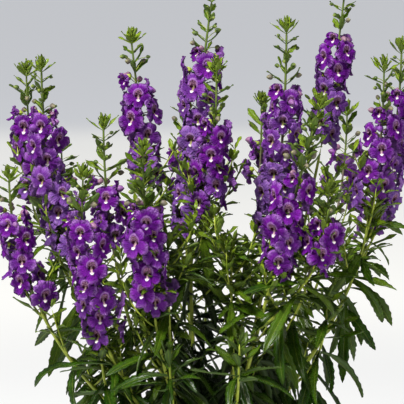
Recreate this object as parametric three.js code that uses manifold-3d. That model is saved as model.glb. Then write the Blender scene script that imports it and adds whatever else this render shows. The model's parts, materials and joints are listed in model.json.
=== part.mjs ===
// A potted angelonia: a plain nursery pot filled with soil, leafy stems that stand in
// holes in the soil, and the racemes that the stems carry. A raceme has a violet stretch
// with its open blooms, and above it a green top with bracts and buds.
// Millimetres, +Z up. The origin is the middle of the pot's flat underside.

import * as THREE from "three";
import Module from "manifold-3d";
import { mergeVertices } from "three/addons/utils/BufferGeometryUtils.js";

const wasm = await Module();
wasm.setup();

// Pot and soil
const POT_HEIGHT = 130;
const POT_TOP_RADIUS = 74;
const POT_BASE_RADIUS = 54;
const POT_WALL = 2.2;
const POT_FLOOR = 3;
const RIM_RADIUS = 78;
const RIM_DEPTH = 15;
const RIM_FLARE = 0.6;
const RIM_BEVEL = 1;
const POT_SIDES = 24;
const DRAIN_HOLES = 6;
const DRAIN_RADIUS = 5;
const DRAIN_RING = 36;
const DRAIN_SIDES = 6;
const SOIL_TOP = 116;
const SOIL_SIDES = 12;
const SOIL_DOME = 3;
const SOIL_EDGE_DROP = 2;
const SOIL_SHOULDER = 0.6;
const FIT_GAP = 0.3;

// Stems
const LEAFY_SIDES = 4;
const LEAFY_STEPS = 4;
const RACHIS_SIDES = 3;
const BLOOM_STEPS = 2;
const BUD_STEPS = 1;
const STEM_BASE_RADIUS = 1.8;
const FORK_BASE_RADIUS = 1.4;
const STEM_TIP_RADIUS = 0.8;
const STEM_DEPTH = 16;
const HOLE_RADIUS = 2.95;
const HOLE_REACH = 36;
const HOLE_FOOT_GAP = 1.2;
const HOLE_SIDES = 5;

// Where a stem's foot and elbow stand, as shares of the way out to its tip and of its rise
const FOOT_SPREAD = 0.2;
const ELBOW_SPREAD = 1;
const ELBOW_RISE = 0.43;
const FORK_ELBOW_RISE = 0.35;

// Leaves, with angles in degrees. Pairs swing to either side of the stem's outer face.
const LEAF_LENGTH = 70;
const LEAF_WIDTH = 11;
const LEAF_SLIMNESS = 0.4;
const LEAF_THICKNESS = 1.1;
const LEAF_SIZES = [0.78, 1.14];
const LEAF_TAPER = 1.2;
const LEAF_PEAK = 0.65;
const LEAF_START = 12;
const LEAF_END_GAP = 3;
const LEAF_STEP = 10;
const LEAF_STEP_GROWTH = 2.8;
const LEAF_SWINGS = [42, 100];
const LEAF_SCATTER = [-35, 35];
const LEAF_RISE = [-6, 34];
const LEAF_TURN = [-46, -8];
const LEAF_HANG = 88;
const LEAF_STEEPEST = -76;
const LEAF_TIP_STEEPEST = -88;
const LEAF_TRIES = 12;

// Bracts and buds
const BUD_SPACING = 17;
const BUD_TURN = 90;
const BUD_SCATTER = [-15, 15];
const BUD_STALK = 7;
const BUD_RADIUS = 2.1;
const BUD_LENGTH = 2.6;
const BUD_LIFT = 4;
const BUD_TIP_LIFT = 3.4;
const BRACT_LENGTH = 12;
const BRACT_WIDTH = 4.2;
const BRACT_THICKNESS = 1;
const BRACT_SIZES = [0.85, 1.15];
const BRACT_RISE = 50;
const BRACT_DROOP = 25;
const TUFT_LENGTH = 12;
const TUFT_WIDTH = 5;

// Blooms, with angles in degrees
const BLOOM_REACH = 14.5;
const BLOOM_REACH_SCATTER = [-3, 4];
const BLOOM_LIFT = 5;
const BLOOM_FAN = 260;
const BLOOM_SCATTER = [-4, 4];
const BLOOM_NOD = [-24, 12];
const BLOOM_SIZES = [0.86, 1.08];
const BLOOM_TOP_SIZE = 0.82;
const BLOOM_GROWTH = 0.05;
const BLOOM_TRIES = 16;
const GOLDEN_SHARE = 0.618034;
const THROAT_DEPTH = 3.4;
const TUBE_DEPTH = 6;
const TUBE_RADIUS = 1.6;

// Racemes further back than this face backwards, and the rest face forwards, each turned
// outwards a little more the further it stands from the middle
const BACK_ROW = 60;
const FACE_SPREAD = 0.004;

// Open gap kept between neighbours, and the largest detail that joining smooths away
const CLEAR = 0.35;
const SLIVER = 0.02;

// How far a root reaches past the middle of its stalk, and how much further along it the
// second of a pair is rooted than the first
const ROOT_SINK = 0.4;
const PAIR_STAGGER = 2.2;

// Shares of a blade's length, with the share of its full width there
const LEAF_STATIONS = [[0.3, 0.9], [0.68, 0.85]];
const SHORT_LEAF = 56;
const SHORT_LEAF_STATIONS = [[0.45, 1]];
const BRACT_STATIONS = [[0.4, 1]];

// The edge of a bloom seen from the front, as [angle in degrees, radius, forward]:
// the two upper lobes, a side lobe on each hand and the lower lip, between notches.
const BLOOM_EDGE = [
  [28, 8, 0.2], [62, 11.2, -1.2], [118, 11.2, -1.2], [152, 8, 0.2], [187, 12.4, -1.6],
  [227, 7.6, 0.6], [251, 10.8, 2.4], [289, 10.8, 2.4], [313, 7.6, 0.6], [353, 12.4, -1.6],
];

// Each raceme: its tip, the length of bud-bearing stalk at the top, the length of the
// flowering stalk below that, and its number of open blooms. A raceme with a parent forks
// from it at the given share of the parent's length. An elbow that isn't below the tip is
// given as [x, y].
const RACEMES = [
  { name: "left_tall", tip: [-135, -6, 430], buds: 42, zone: 128, blooms: 22 },
  { name: "left_fork", tip: [-151, 34, 424], buds: 38, zone: 80, blooms: 12,
    parent: "left_tall", at: 0.36 },
  { name: "far_left", tip: [-159, -52, 342], buds: 30, zone: 84, blooms: 13 },
  { name: "mid_left_tall", tip: [-61, 34, 452], buds: 38, zone: 98, blooms: 14,
    elbow: [-38, 30] },
  { name: "mid_left_short", tip: [-82, -30, 383], buds: 50, zone: 62, blooms: 9 },
  {
    name: "front_left", tip: [-95, -100, 349], buds: 38, zone: 112, blooms: 19,
    elbow: [-106, -104],
  },
  { name: "front_mid_left", tip: [-47, -108, 369], buds: 50, zone: 88, blooms: 16 },
  { name: "centre_tall", tip: [9, 14, 488], buds: 50, zone: 158, blooms: 27,
    elbow: [-24, 6] },
  { name: "centre_fork", tip: [12, -44, 431], buds: 50, zone: 76, blooms: 14,
    parent: "centre_tall", at: 0.38 },
  { name: "mid_right_tall", tip: [71, -4, 462], buds: 54, zone: 124, blooms: 22 },
  { name: "front_right", tip: [95, -96, 405], buds: 64, zone: 92, blooms: 16,
    elbow: [48, -96] },
  { name: "front_right_fork", tip: [102, -92, 335], buds: 30, zone: 44, blooms: 8,
    parent: "front_right", at: 0.4 },
  { name: "right_tall", tip: [122, 34, 489], buds: 40, zone: 92, blooms: 16,
    elbow: [98, 28] },
  { name: "far_right", tip: [170, 20, 444], buds: 42, zone: 126, blooms: 20 },
  { name: "far_right_fork", tip: [151, -30, 431], buds: 40, zone: 84, blooms: 13,
    parent: "far_right", at: 0.36 },
  { name: "back_left", tip: [-126, 104, 352], buds: 32, zone: 54, blooms: 6 },
  { name: "back_mid_left", tip: [-16, 124, 384], buds: 30, zone: 88, blooms: 8 },
  { name: "back_mid_right", tip: [54, 122, 391], buds: 34, zone: 60, blooms: 7 },
  { name: "back_right", tip: [130, 106, 384], buds: 34, zone: 60, blooms: 6 },
];

// Each leafy shoot without flowers: its tip, and the raceme that it forks from.
const SHOOTS = [
  { name: "front_left_shoot", tip: [-26, -112, 206], parent: "front_mid_left", at: 0.1 },
  { name: "front_right_shoot", tip: [30, -116, 214], parent: "front_right", at: 0.1 },
  { name: "left_shoot", tip: [-84, -66, 216], parent: "far_left", at: 0.2 },
  { name: "right_shoot", tip: [104, -52, 238], parent: "far_right", at: 0.18 },
  { name: "back_shoot", tip: [4, 122, 226], parent: "back_mid_left", at: 0.12 },
  { name: "centre_left_shoot", tip: [-28, -74, 296], parent: "front_mid_left", at: 0.16 },
  { name: "centre_right_shoot", tip: [24, -70, 284], parent: "front_right", at: 0.16 },
  { name: "mid_right_shoot", tip: [92, -40, 290], parent: "mid_right_tall", at: 0.2 },
];

const FOLIAGE = new THREE.MeshStandardMaterial({ color: 0x3f6b1c, roughness: 0.55 });
const PETAL = new THREE.MeshStandardMaterial({ color: 0x5f2387, roughness: 0.6 });
const POT_PLASTIC = new THREE.MeshStandardMaterial({ color: 0x2b2c2b, roughness: 0.6 });
const SOIL = new THREE.MeshStandardMaterial({ color: 0x3a2a1e, roughness: 0.95 });

const UP = new THREE.Vector3(0, 0, 1);
const radians = THREE.MathUtils.degToRad;
const degrees = THREE.MathUtils.radToDeg;

// A repeatable number from 0 to 1 for a seed and an index.
function draw(seed, index) {
  const x = Math.sin(seed * 127.1 + index * 311.7) * 43758.5453;
  return x - Math.floor(x);
}

// A repeatable number from low to high.
function spread(low, high, seed, index) {
  return low + (high - low) * draw(seed, index);
}

// Evenly spaced numbers from low up to but not including high.
function steps(low, high, count) {
  return Array.from({ length: count }, (_, i) => low + ((high - low) * i) / count);
}

// A closed mesh through rings of points. An end ring of one point is a tip.
function loft(rings) {
  const points = rings.flat();
  const faces = [];
  const starts = rings.map((_, i) => rings.slice(0, i).flat().length);
  for (let i = 0; i + 1 < rings.length; i += 1) {
    const [a, b] = [rings[i].length, rings[i + 1].length];
    const sides = Math.max(a, b);
    for (let j = 0; j < sides; j += 1) {
      const k = (j + 1) % sides;
      const low = [starts[i] + (j % a), starts[i] + (k % a)];
      const high = [starts[i + 1] + (j % b), starts[i + 1] + (k % b)];
      if (a > 1) faces.push(low[0], low[1], high[0]);
      if (b > 1) faces.push(low[1], high[1], high[0]);
    }
  }
  capEnd(faces, starts[0], rings[0].length, false);
  capEnd(faces, starts.at(-1), rings.at(-1).length, true);
  const geometry = new THREE.BufferGeometry().setFromPoints(points);
  geometry.setIndex(faces);
  return geometry;
}

// Closes an end ring of three or more points with a fan.
function capEnd(faces, start, count, isTop) {
  for (let j = 1; j + 1 < count; j += 1) {
    const fan = [start, start + j, start + j + 1];
    faces.push(...(isTop ? fan : fan.reverse()));
  }
}

// A three.js geometry as a solid that can be joined and cut.
function solidOf(geometry) {
  const bare = geometry.clone();
  bare.deleteAttribute("normal");
  bare.deleteAttribute("uv");
  const merged = mergeVertices(bare, 1e-4);
  return new wasm.Manifold(
    new wasm.Mesh({
      numProp: 3,
      vertProperties: new Float32Array(merged.attributes.position.array),
      triVerts: new Uint32Array(merged.index.array),
    }),
  );
}

// A solid's surface as a three.js geometry.
function geometryOf(solid) {
  const { vertProperties, triVerts } = solid.getMesh();
  const geometry = new THREE.BufferGeometry();
  geometry.setAttribute("position", new THREE.BufferAttribute(vertProperties, 3));
  geometry.setIndex(new THREE.BufferAttribute(triVerts, 1));
  return geometry;
}

// Several solids as one, without the slivers that joining leaves.
function joined(solids) {
  return solids.reduce((all, next) => all.add(next)).asOriginal().simplify(SLIVER);
}

// Everything placed so far: its node, its solid and box, and whether it is a stalk, which
// the shapes of its node are rooted in.
const placed = [];

function place(node, solid, isStalk = false) {
  placed.push({ node, solid, box: solid.boundingBox(), isStalk });
}

function boxesMeet(a, b) {
  return [0, 1, 2].every((i) => a.min[i] < b.max[i] + CLEAR && b.min[i] < a.max[i] + CLEAR);
}

// Whether a solid stays clear of each of the placed pieces given.
function isClear(solid, pieces) {
  const box = solid.boundingBox();
  return pieces.every(
    (other) => !boxesMeet(box, other.box) || other.solid.minGap(solid, CLEAR) >= CLEAR,
  );
}

// Places the first of several tries at a shape that is clear of everything but its own
// stalk. A shape that must stand may, at the last, cross others of its node; any other is
// left out.
function placeClear(node, tries, mustStand, shapeOf) {
  const solids = Array.from({ length: tries }, (_, attempt) => solidOf(shapeOf(attempt)));
  const others = placed.filter((other) => other.node !== node);
  const fellows = placed.filter((other) => other.node === node && !other.isStalk);
  const allowed = solids.filter((solid) => isClear(solid, others));
  const chosen = allowed.find((solid) => isClear(solid, fellows)) ?? (mustStand && allowed[0]);
  if (chosen) place(node, chosen);
}

// The centreline of a stem: out from the crown of the plant, then up to its tip.
function stalkOf({ tip: [x, y, z], elbow, parent, at }) {
  const foot = parent
    ? parent.stalk.getPointAt(at)
    : new THREE.Vector3(FOOT_SPREAD * x, FOOT_SPREAD * y, SOIL_TOP - STEM_DEPTH);
  const [out, rise] = parent ? [1, FORK_ELBOW_RISE] : [ELBOW_SPREAD, ELBOW_RISE];
  const [bendX, bendY] = elbow ?? [out * x, out * y];
  const bend = new THREE.Vector3(bendX, bendY, foot.z + rise * (z - foot.z));
  return new THREE.QuadraticBezierCurve3(foot, bend, new THREE.Vector3(x, y, z));
}

// Radius of the stem at a length along it.
function stemRadius({ parent, length }, along) {
  const base = parent ? FORK_BASE_RADIUS : STEM_BASE_RADIUS;
  return base + ((STEM_TIP_RADIUS - base) * along) / length;
}

// The stalk from one of its knots to another: a prism through rings square to its curve.
function stalkShape(stem, first, last, sides) {
  const { stalk, length, knots } = stem;
  const across = new THREE.Vector3()
    .subVectors(stalk.v1, stalk.v0)
    .cross(new THREE.Vector3().subVectors(stalk.v2, stalk.v1))
    .normalize();
  return loft(
    knots.slice(first, last + 1).map((along) => {
      const centre = stalk.getPointAt(along / length);
      const tangent = stalk.getTangentAt(along / length);
      const third = new THREE.Vector3().crossVectors(tangent, across);
      const radius = stemRadius(stem, along);
      return Array.from({ length: sides }, (_, j) => {
        const angle = (2 * Math.PI * j) / sides;
        return centre
          .clone()
          .addScaledVector(across, radius * Math.cos(angle))
          .addScaledVector(third, radius * Math.sin(angle));
      });
    }),
  );
}

// The unit vectors of a piece that grows from the stalk: outward, to its side, and up,
// the last two rolled about the first.
function facing(azimuth, roll = 0) {
  const angle = radians(azimuth);
  const out = new THREE.Vector3(Math.cos(angle), Math.sin(angle), 0);
  const side = new THREE.Vector3(-Math.sin(angle), Math.cos(angle), 0);
  return {
    out,
    side: side.clone().applyAxisAngle(out, radians(roll)),
    up: UP.clone().applyAxisAngle(out, radians(roll)),
  };
}

// A narrow pointed blade, flat above and keeled below. Its midrib is an arch whose slope
// turns evenly from rise to droop, in degrees.
function bladeShape(blade, stations) {
  const { out, side, up } = facing(blade.azimuth, blade.roll);
  const start = radians(blade.rise);
  const turn = radians(blade.droop - blade.rise);
  const reach = blade.length / turn;
  const midrib = (slope) =>
    blade.root
      .clone()
      .addScaledVector(out, reach * (Math.sin(slope) - Math.sin(start)))
      .addScaledVector(up, reach * (Math.cos(start) - Math.cos(slope)));
  const rings = stations.map(([share, widthShare]) => {
    const slope = start + turn * share;
    const below = up
      .clone()
      .multiplyScalar(-Math.cos(slope))
      .addScaledVector(out, Math.sin(slope));
    const half = (widthShare * blade.width) / 2;
    return [
      midrib(slope).addScaledVector(side, -half),
      midrib(slope).addScaledVector(below, blade.thickness),
      midrib(slope).addScaledVector(side, half),
    ];
  });
  return loft([[blade.root], ...rings, [midrib(start + turn)]]);
}

// A root for a piece, sunk past the middle of the stalk.
function rootAt({ stalk, length, knots }, along, azimuth) {
  const next = Math.min(knots.findIndex((knot) => knot > along), knots.length - 1);
  const [low, high] = [knots[next - 1], knots[next]];
  return stalk
    .getPointAt(low / length)
    .lerp(stalk.getPointAt(high / length), (along - low) / (high - low))
    .addScaledVector(facing(azimuth).out, -ROOT_SINK);
}

// One of the leaves at a node of the stem, as its nth try: each try turns and bends it
// another way, so that it can pass its neighbours. Low leaves hang, high ones rise, and the
// largest are about half way.
function leafAt(stem, pair, half, attempt) {
  const { seed, leafStart, leafEnd, outward } = stem;
  const along = leafStart + LEAF_STEP * pair + LEAF_STEP_GROWTH * pair * pair;
  const key = (2 * pair + half) * LEAF_TRIES + attempt;
  const low = 1 - (along - leafStart) / (leafEnd - leafStart);
  const size = spread(...LEAF_SIZES, seed, key) * (1 - LEAF_TAPER * (low - LEAF_PEAK) ** 2);
  const rise = Math.max(LEAF_STEEPEST, spread(...LEAF_RISE, seed + 2, key) - LEAF_HANG * low);
  const swing = (half === 0 ? 1 : -1) * LEAF_SWINGS[pair % 2];
  const azimuth = outward + swing + spread(...LEAF_SCATTER, seed + 1, key);
  return {
    along,
    root: rootAt(stem, along + half * PAIR_STAGGER, azimuth),
    azimuth,
    roll: spread(...LEAF_SCATTER, seed + 4, key),
    rise,
    droop: Math.max(LEAF_TIP_STEEPEST, rise + spread(...LEAF_TURN, seed + 3, key)),
    length: LEAF_LENGTH * size,
    width: LEAF_WIDTH * (LEAF_SLIMNESS + (1 - LEAF_SLIMNESS) * size),
    thickness: LEAF_THICKNESS,
  };
}

// The pairs of leaves of a stem, further apart higher up.
function addLeaves(stem) {
  for (let pair = 0; leafAt(stem, pair, 0, 0).along < stem.leafEnd; pair += 1) {
    for (const half of [0, 1]) {
      placeClear(stem.stemNode, LEAF_TRIES, false, (attempt) => {
        const leaf = leafAt(stem, pair, half, attempt);
        return bladeShape(leaf, leaf.length < SHORT_LEAF ? SHORT_LEAF_STATIONS : LEAF_STATIONS);
      });
    }
  }
}

// A bud that swells from its stalk to its widest and closes to a point.
function budShape(root, azimuth, radius) {
  const { out, side, up } = facing(azimuth);
  const point = (reach, rise) =>
    root.clone().addScaledVector(out, reach).addScaledVector(up, rise);
  const ring = [90, 210, 330].map((angle) =>
    point(BUD_STALK + radius, BUD_LIFT)
      .addScaledVector(side, radius * Math.cos(radians(angle)))
      .addScaledVector(up, radius * Math.sin(radians(angle))),
  );
  return loft([[root], ring, [point(BUD_STALK + BUD_LENGTH * radius, BUD_TIP_LIFT)]]);
}

// Bracts and buds up the top of a raceme, larger lower down, and the tuft of young bracts
// at its tip.
function addBuds(raceme) {
  const { stalk, length, seed, budNode, outward } = raceme;
  const count = Math.floor((raceme.buds - TUFT_LENGTH / 2) / BUD_SPACING);
  for (let i = 0; i < count; i += 1) {
    const along = length - TUFT_LENGTH / 2 - (i + 0.5) * BUD_SPACING;
    const azimuth = outward + BUD_TURN * i + spread(...BUD_SCATTER, seed + 5, i);
    const bract = {
      root: rootAt(raceme, along, azimuth),
      azimuth,
      roll: 0,
      rise: BRACT_RISE,
      droop: BRACT_DROOP,
      length: BRACT_LENGTH * spread(...BRACT_SIZES, seed + 6, i),
      width: BRACT_WIDTH,
      thickness: BRACT_THICKNESS,
    };
    const radius = BUD_RADIUS * (0.6 + (0.5 * (i + 1)) / count);
    const root = rootAt(raceme, along + PAIR_STAGGER, azimuth + 180);
    placeClear(budNode, 1, false, () => bladeShape(bract, BRACT_STATIONS));
    placeClear(budNode, 1, false, () => budShape(root, azimuth + 180, radius));
  }
  const tip = stalk.getPointAt(1);
  const ends = [-1, 1].map((end) => tip.clone().addScaledVector(UP, (end * TUFT_LENGTH) / 2));
  const ring = [0, 120, 240].map((angle) =>
    tip.clone().addScaledVector(facing(outward + angle).out, TUFT_WIDTH / 2),
  );
  place(budNode, solidOf(loft([[ends[0]], ring, [ends[1]]])));
}

// An open bloom, as its nth try: its lobed face looks outward, its throat is sunk, and it
// narrows behind to a stalk whose end is rooted in the stem. The blooms of a raceme fan
// round its outer side by the golden section, so that none hides another.
function bloomShape(raceme, index, attempt) {
  const { seed, bloomTop, pitch } = raceme;
  const key = index * BLOOM_TRIES + attempt;
  const turn = ((index + 0.5) * GOLDEN_SHARE) % 1;
  const scatter = spread(...BLOOM_SCATTER, seed + 8, key) * (1 + attempt);
  const azimuth = raceme.faces + BLOOM_FAN * (turn - 0.5) + scatter;
  const growth = Math.min(1, BLOOM_TOP_SIZE + BLOOM_GROWTH * index);
  const size = growth * spread(...BLOOM_SIZES, seed + 9, key);
  const nod = radians(spread(...BLOOM_NOD, seed + 10, key));
  const root = rootAt(raceme, bloomTop - (index + 0.5) * pitch, azimuth);
  const { out, side } = facing(azimuth);
  const front = out.clone().multiplyScalar(Math.cos(nod)).addScaledVector(UP, Math.sin(nod));
  const top = UP.clone().multiplyScalar(Math.cos(nod)).addScaledVector(out, -Math.sin(nod));
  const reach = (BLOOM_REACH + spread(...BLOOM_REACH_SCATTER, seed + 11, key)) * size;
  const centre = root
    .clone()
    .addScaledVector(out, reach)
    .addScaledVector(UP, BLOOM_LIFT);
  const at = (degrees, radius, forward) =>
    centre
      .clone()
      .addScaledVector(side, radius * size * Math.cos(radians(degrees)))
      .addScaledVector(top, radius * size * Math.sin(radians(degrees)))
      .addScaledVector(front, forward);
  const edge = BLOOM_EDGE.map((row) => at(...row));
  const throat = at(0, 0, -THROAT_DEPTH);
  const tube = [30, 150, 270].map((degrees) => at(degrees, TUBE_RADIUS, -TUBE_DEPTH));
  return bloomSurface(edge, throat, tube, root);
}

// The closed surface of a bloom: a fan from the throat to the edge, each third of the edge
// drawn back to one corner of the tube, and the tube drawn to a point.
function bloomSurface(edge, throat, tube, foot) {
  const count = edge.length;
  const back = count + 1;
  const cornerOf = (j) => back + (Math.floor((BLOOM_EDGE[j][0] + 30) / 120) % tube.length);
  const faces = [];
  for (let j = 0; j < count; j += 1) {
    const k = (j + 1) % count;
    faces.push(count, j, k, cornerOf(j), k, j);
    if (cornerOf(j) !== cornerOf(k)) faces.push(cornerOf(j), cornerOf(k), k);
  }
  for (let j = 0; j < tube.length; j += 1) {
    faces.push(back + j, back + tube.length, back + ((j + 1) % tube.length));
  }
  const points = [...edge, throat, ...tube, foot];
  const geometry = new THREE.BufferGeometry().setFromPoints(points);
  geometry.setIndex(faces);
  return geometry;
}

function addBlooms(raceme) {
  for (let index = 0; index < raceme.blooms; index += 1) {
    placeClear(raceme.bloomNode, BLOOM_TRIES, true, (attempt) =>
      bloomShape(raceme, index, attempt),
    );
  }
}

// A closed ring or disc turned about the pot's axis, from its profile of [radius, height].
function turned(profile, sides) {
  const points = profile.map(([radius, height]) => new THREE.Vector2(radius, height));
  return new THREE.LatheGeometry(points, sides).rotateX(Math.PI / 2);
}

function rod(radius, bottom, top, sides) {
  return new THREE.CylinderGeometry(radius, radius, top - bottom, sides)
    .rotateX(Math.PI / 2)
    .translate(0, 0, (bottom + top) / 2);
}

// Outer radius of the pot's side wall at a height.
function potRadius(height) {
  return POT_BASE_RADIUS + ((POT_TOP_RADIUS - POT_BASE_RADIUS) * height) / POT_HEIGHT;
}

function makePot() {
  const under = POT_HEIGHT - RIM_DEPTH;
  const shell = solidOf(
    turned(
      [
        [0, 0],
        [POT_BASE_RADIUS, 0],
        [potRadius(under), under],
        [RIM_RADIUS, under + RIM_BEVEL],
        [RIM_RADIUS + RIM_FLARE, POT_HEIGHT - RIM_BEVEL],
        [RIM_RADIUS - RIM_FLARE, POT_HEIGHT],
        [POT_TOP_RADIUS - POT_WALL, POT_HEIGHT],
        [potRadius(POT_FLOOR) - POT_WALL, POT_FLOOR],
        [0, POT_FLOOR],
      ],
      POT_SIDES,
    ),
  );
  const holes = Array.from({ length: DRAIN_HOLES }, (_, i) => {
    const angle = (2 * Math.PI * i) / DRAIN_HOLES;
    return solidOf(
      rod(DRAIN_RADIUS, -1, POT_FLOOR + 1, DRAIN_SIDES).translate(
        DRAIN_RING * Math.cos(angle), DRAIN_RING * Math.sin(angle), 0,
      ),
    );
  });
  return shell.subtract(joined(holes));
}

// The soil fills the pot to below its rim, with a hole for each stem.
function makeSoil() {
  const inner = (height) => potRadius(height) - POT_WALL - 2 * FIT_GAP;
  const bottom = POT_FLOOR + FIT_GAP;
  const edge = SOIL_TOP - SOIL_EDGE_DROP;
  const body = solidOf(
    turned(
      [
        [0, bottom],
        [inner(bottom), bottom],
        [inner(edge), edge],
        [SOIL_SHOULDER * POT_TOP_RADIUS, SOIL_TOP + SOIL_DOME / 2],
        [0, SOIL_TOP + SOIL_DOME],
      ],
      SOIL_SIDES,
    ),
  );
  const holes = RACEMES.filter((raceme) => !raceme.parent).map(({ stalk, length }) => {
    const foot = stalk.getPointAt(0);
    const lean = stalk.getPointAt(HOLE_REACH / length).sub(foot).normalize();
    const turn = new THREE.Quaternion().setFromUnitVectors(UP, lean);
    return solidOf(
      rod(HOLE_RADIUS, -HOLE_FOOT_GAP, HOLE_REACH, HOLE_SIDES)
        .applyQuaternion(turn)
        .translate(foot.x, foot.y, foot.z),
    );
  });
  return body.subtract(joined(holes));
}

// Every stem gets its curve, the names of its nodes, and the lengths along it where its
// leaves, blooms and buds begin and end.
const stems = [...RACEMES, ...SHOOTS];
stems.forEach((stem, i) => {
  stem.seed = 100 + 17 * i;
  stem.parent = RACEMES.find(({ name }) => name === stem.parent);
  stem.stalk = stalkOf(stem);
  stem.length = stem.stalk.getLength();
  stem.stemNode = `stem_${(stem.parent ?? stem).name}`;
  stem.bloomNode = `blooms_${stem.name}`;
  stem.budNode = `buds_${stem.name}`;
  stem.bloomTop = stem.length - (stem.buds ?? 0);
  stem.bloomEnd = stem.bloomTop - (stem.zone ?? 0);
  stem.pitch = stem.zone / (stem.blooms + 0.5);
  stem.knots = [
    ...steps(0, stem.bloomEnd, LEAFY_STEPS),
    ...steps(stem.bloomEnd, stem.bloomTop, stem.zone ? BLOOM_STEPS : 0),
    ...steps(stem.bloomTop, stem.length, stem.buds ? BUD_STEPS : 0),
    stem.length,
  ];
  stem.leafStart = LEAF_START + (stem.parent ? 0 : STEM_DEPTH);
  stem.leafEnd = stem.bloomEnd - LEAF_END_GAP;
  const [x, y] = stem.tip;
  stem.outward = degrees(Math.atan2(y, x));
  stem.faces = degrees(Math.atan2(y > BACK_ROW ? 1 : -1, FACE_SPREAD * x));
});

place("pot", makePot());
place("soil", makeSoil());

for (const stem of stems) {
  const { stemNode, bloomNode, budNode, knots } = stem;
  const add = (node, first, last, sides) =>
    place(node, solidOf(stalkShape(stem, first, last, sides)), true);
  add(stemNode, 0, LEAFY_STEPS, LEAFY_SIDES);
  if (!stem.blooms) continue;
  add(bloomNode, LEAFY_STEPS, LEAFY_STEPS + BLOOM_STEPS, RACHIS_SIDES);
  add(budNode, LEAFY_STEPS + BLOOM_STEPS, knots.length - 1, RACHIS_SIDES);
}
RACEMES.forEach(addBlooms);
RACEMES.forEach(addBuds);
stems.forEach(addLeaves);

const materialOf = { pot: POT_PLASTIC, soil: SOIL, stem: FOLIAGE, buds: FOLIAGE, blooms: PETAL };
const root = new THREE.Group();
for (const name of new Set(placed.map(({ node }) => node))) {
  const solid = joined(placed.filter(({ node }) => node === name).map((one) => one.solid));
  const mesh = new THREE.Mesh(geometryOf(solid), materialOf[name.split("_")[0]]);
  mesh.name = name;
  root.add(mesh);
}

export default root;
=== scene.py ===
"""Looks of a potted angelonia: leafy stems, racemes of violet blooms, pot, soil and stage.

Units are metres and degrees. The origin is the middle of the pot's underside, +Z is up and
the plant faces -Y. Every shape is a shell: a grid of rows by columns whose columns close
into rings, with one point that closes each end.
"""

import json
import math

import bpy
import numpy as np
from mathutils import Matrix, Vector

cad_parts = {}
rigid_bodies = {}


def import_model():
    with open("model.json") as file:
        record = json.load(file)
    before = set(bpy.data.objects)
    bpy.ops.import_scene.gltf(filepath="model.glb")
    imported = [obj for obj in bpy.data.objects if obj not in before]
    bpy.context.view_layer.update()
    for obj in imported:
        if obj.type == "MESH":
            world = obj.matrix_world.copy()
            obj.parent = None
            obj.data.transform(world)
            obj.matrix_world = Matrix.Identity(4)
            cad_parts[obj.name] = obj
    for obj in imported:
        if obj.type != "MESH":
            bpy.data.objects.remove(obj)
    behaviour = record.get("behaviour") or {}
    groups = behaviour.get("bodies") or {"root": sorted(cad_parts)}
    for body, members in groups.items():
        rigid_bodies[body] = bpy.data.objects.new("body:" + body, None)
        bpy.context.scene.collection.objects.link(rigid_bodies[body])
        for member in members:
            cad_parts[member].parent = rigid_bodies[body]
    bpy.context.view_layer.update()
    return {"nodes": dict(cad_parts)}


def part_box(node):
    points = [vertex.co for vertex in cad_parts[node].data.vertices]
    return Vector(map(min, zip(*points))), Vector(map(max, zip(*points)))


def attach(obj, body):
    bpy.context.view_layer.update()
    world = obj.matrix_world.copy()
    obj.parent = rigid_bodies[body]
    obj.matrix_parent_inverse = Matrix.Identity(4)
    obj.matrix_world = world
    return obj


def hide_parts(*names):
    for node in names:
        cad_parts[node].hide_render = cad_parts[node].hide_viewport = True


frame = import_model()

bl_info = {
    "name": "Potted Angelonia",
    "version": (1, 0, 0),
    "blender": (4, 5, 0),
    "location": "View3D > Sidebar > Angelonia",
    "description": "Builds the petals, leaves, buds, pot and soil of a potted angelonia",
    "category": "Add Mesh",
}

MM = 0.001
UP = np.array([0.0, 0.0, 1.0])

# Growth of the stems, as the solids have it
SOIL_TOP = 116 * MM
STEM_DEPTH = 16 * MM
FOOT_SPREAD = 0.2
ELBOW_SPREAD = 1
ELBOW_RISE = 0.43
FORK_ELBOW_RISE = 0.35
STEM_BASE_RADIUS = 1.8 * MM
FORK_BASE_RADIUS = 1.4 * MM
STEM_TIP_RADIUS = 0.8 * MM
LEAFY_STEPS = 4
BLOOM_STEPS = 2
CURVE_STEPS = 201
BACK_ROW = 60 * MM
FACE_SPREAD = 4
ROOT_SINK = 0.4 * MM
PAIR_STAGGER = 2.2 * MM

# Growth of the leaves
LEAF_LENGTH = 70 * MM
LEAF_WIDTH = 11 * MM
LEAF_THICKNESS = 1.1 * MM
LEAF_SLIMNESS = 0.4
LEAF_SIZES = (0.78, 1.14)
LEAF_TAPER = 1.2
LEAF_PEAK = 0.65
LEAF_START = 12 * MM
LEAF_END_GAP = 3 * MM
LEAF_STEP = 10 * MM
LEAF_STEP_GROWTH = 2.8 * MM
MOST_PAIRS = 60
LEAF_SWINGS = (42, 100)
LEAF_SCATTER = (-35, 35)
LEAF_RISE = (-6, 34)
LEAF_TURN = (-46, -8)
LEAF_HANG = 88
LEAF_STEEPEST = -76
LEAF_TIP_STEEPEST = -88
LEAF_TRIES = 12
LEAF_STATIONS = ((0.3, 0.9), (0.45, 1), (0.68, 0.85))

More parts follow.
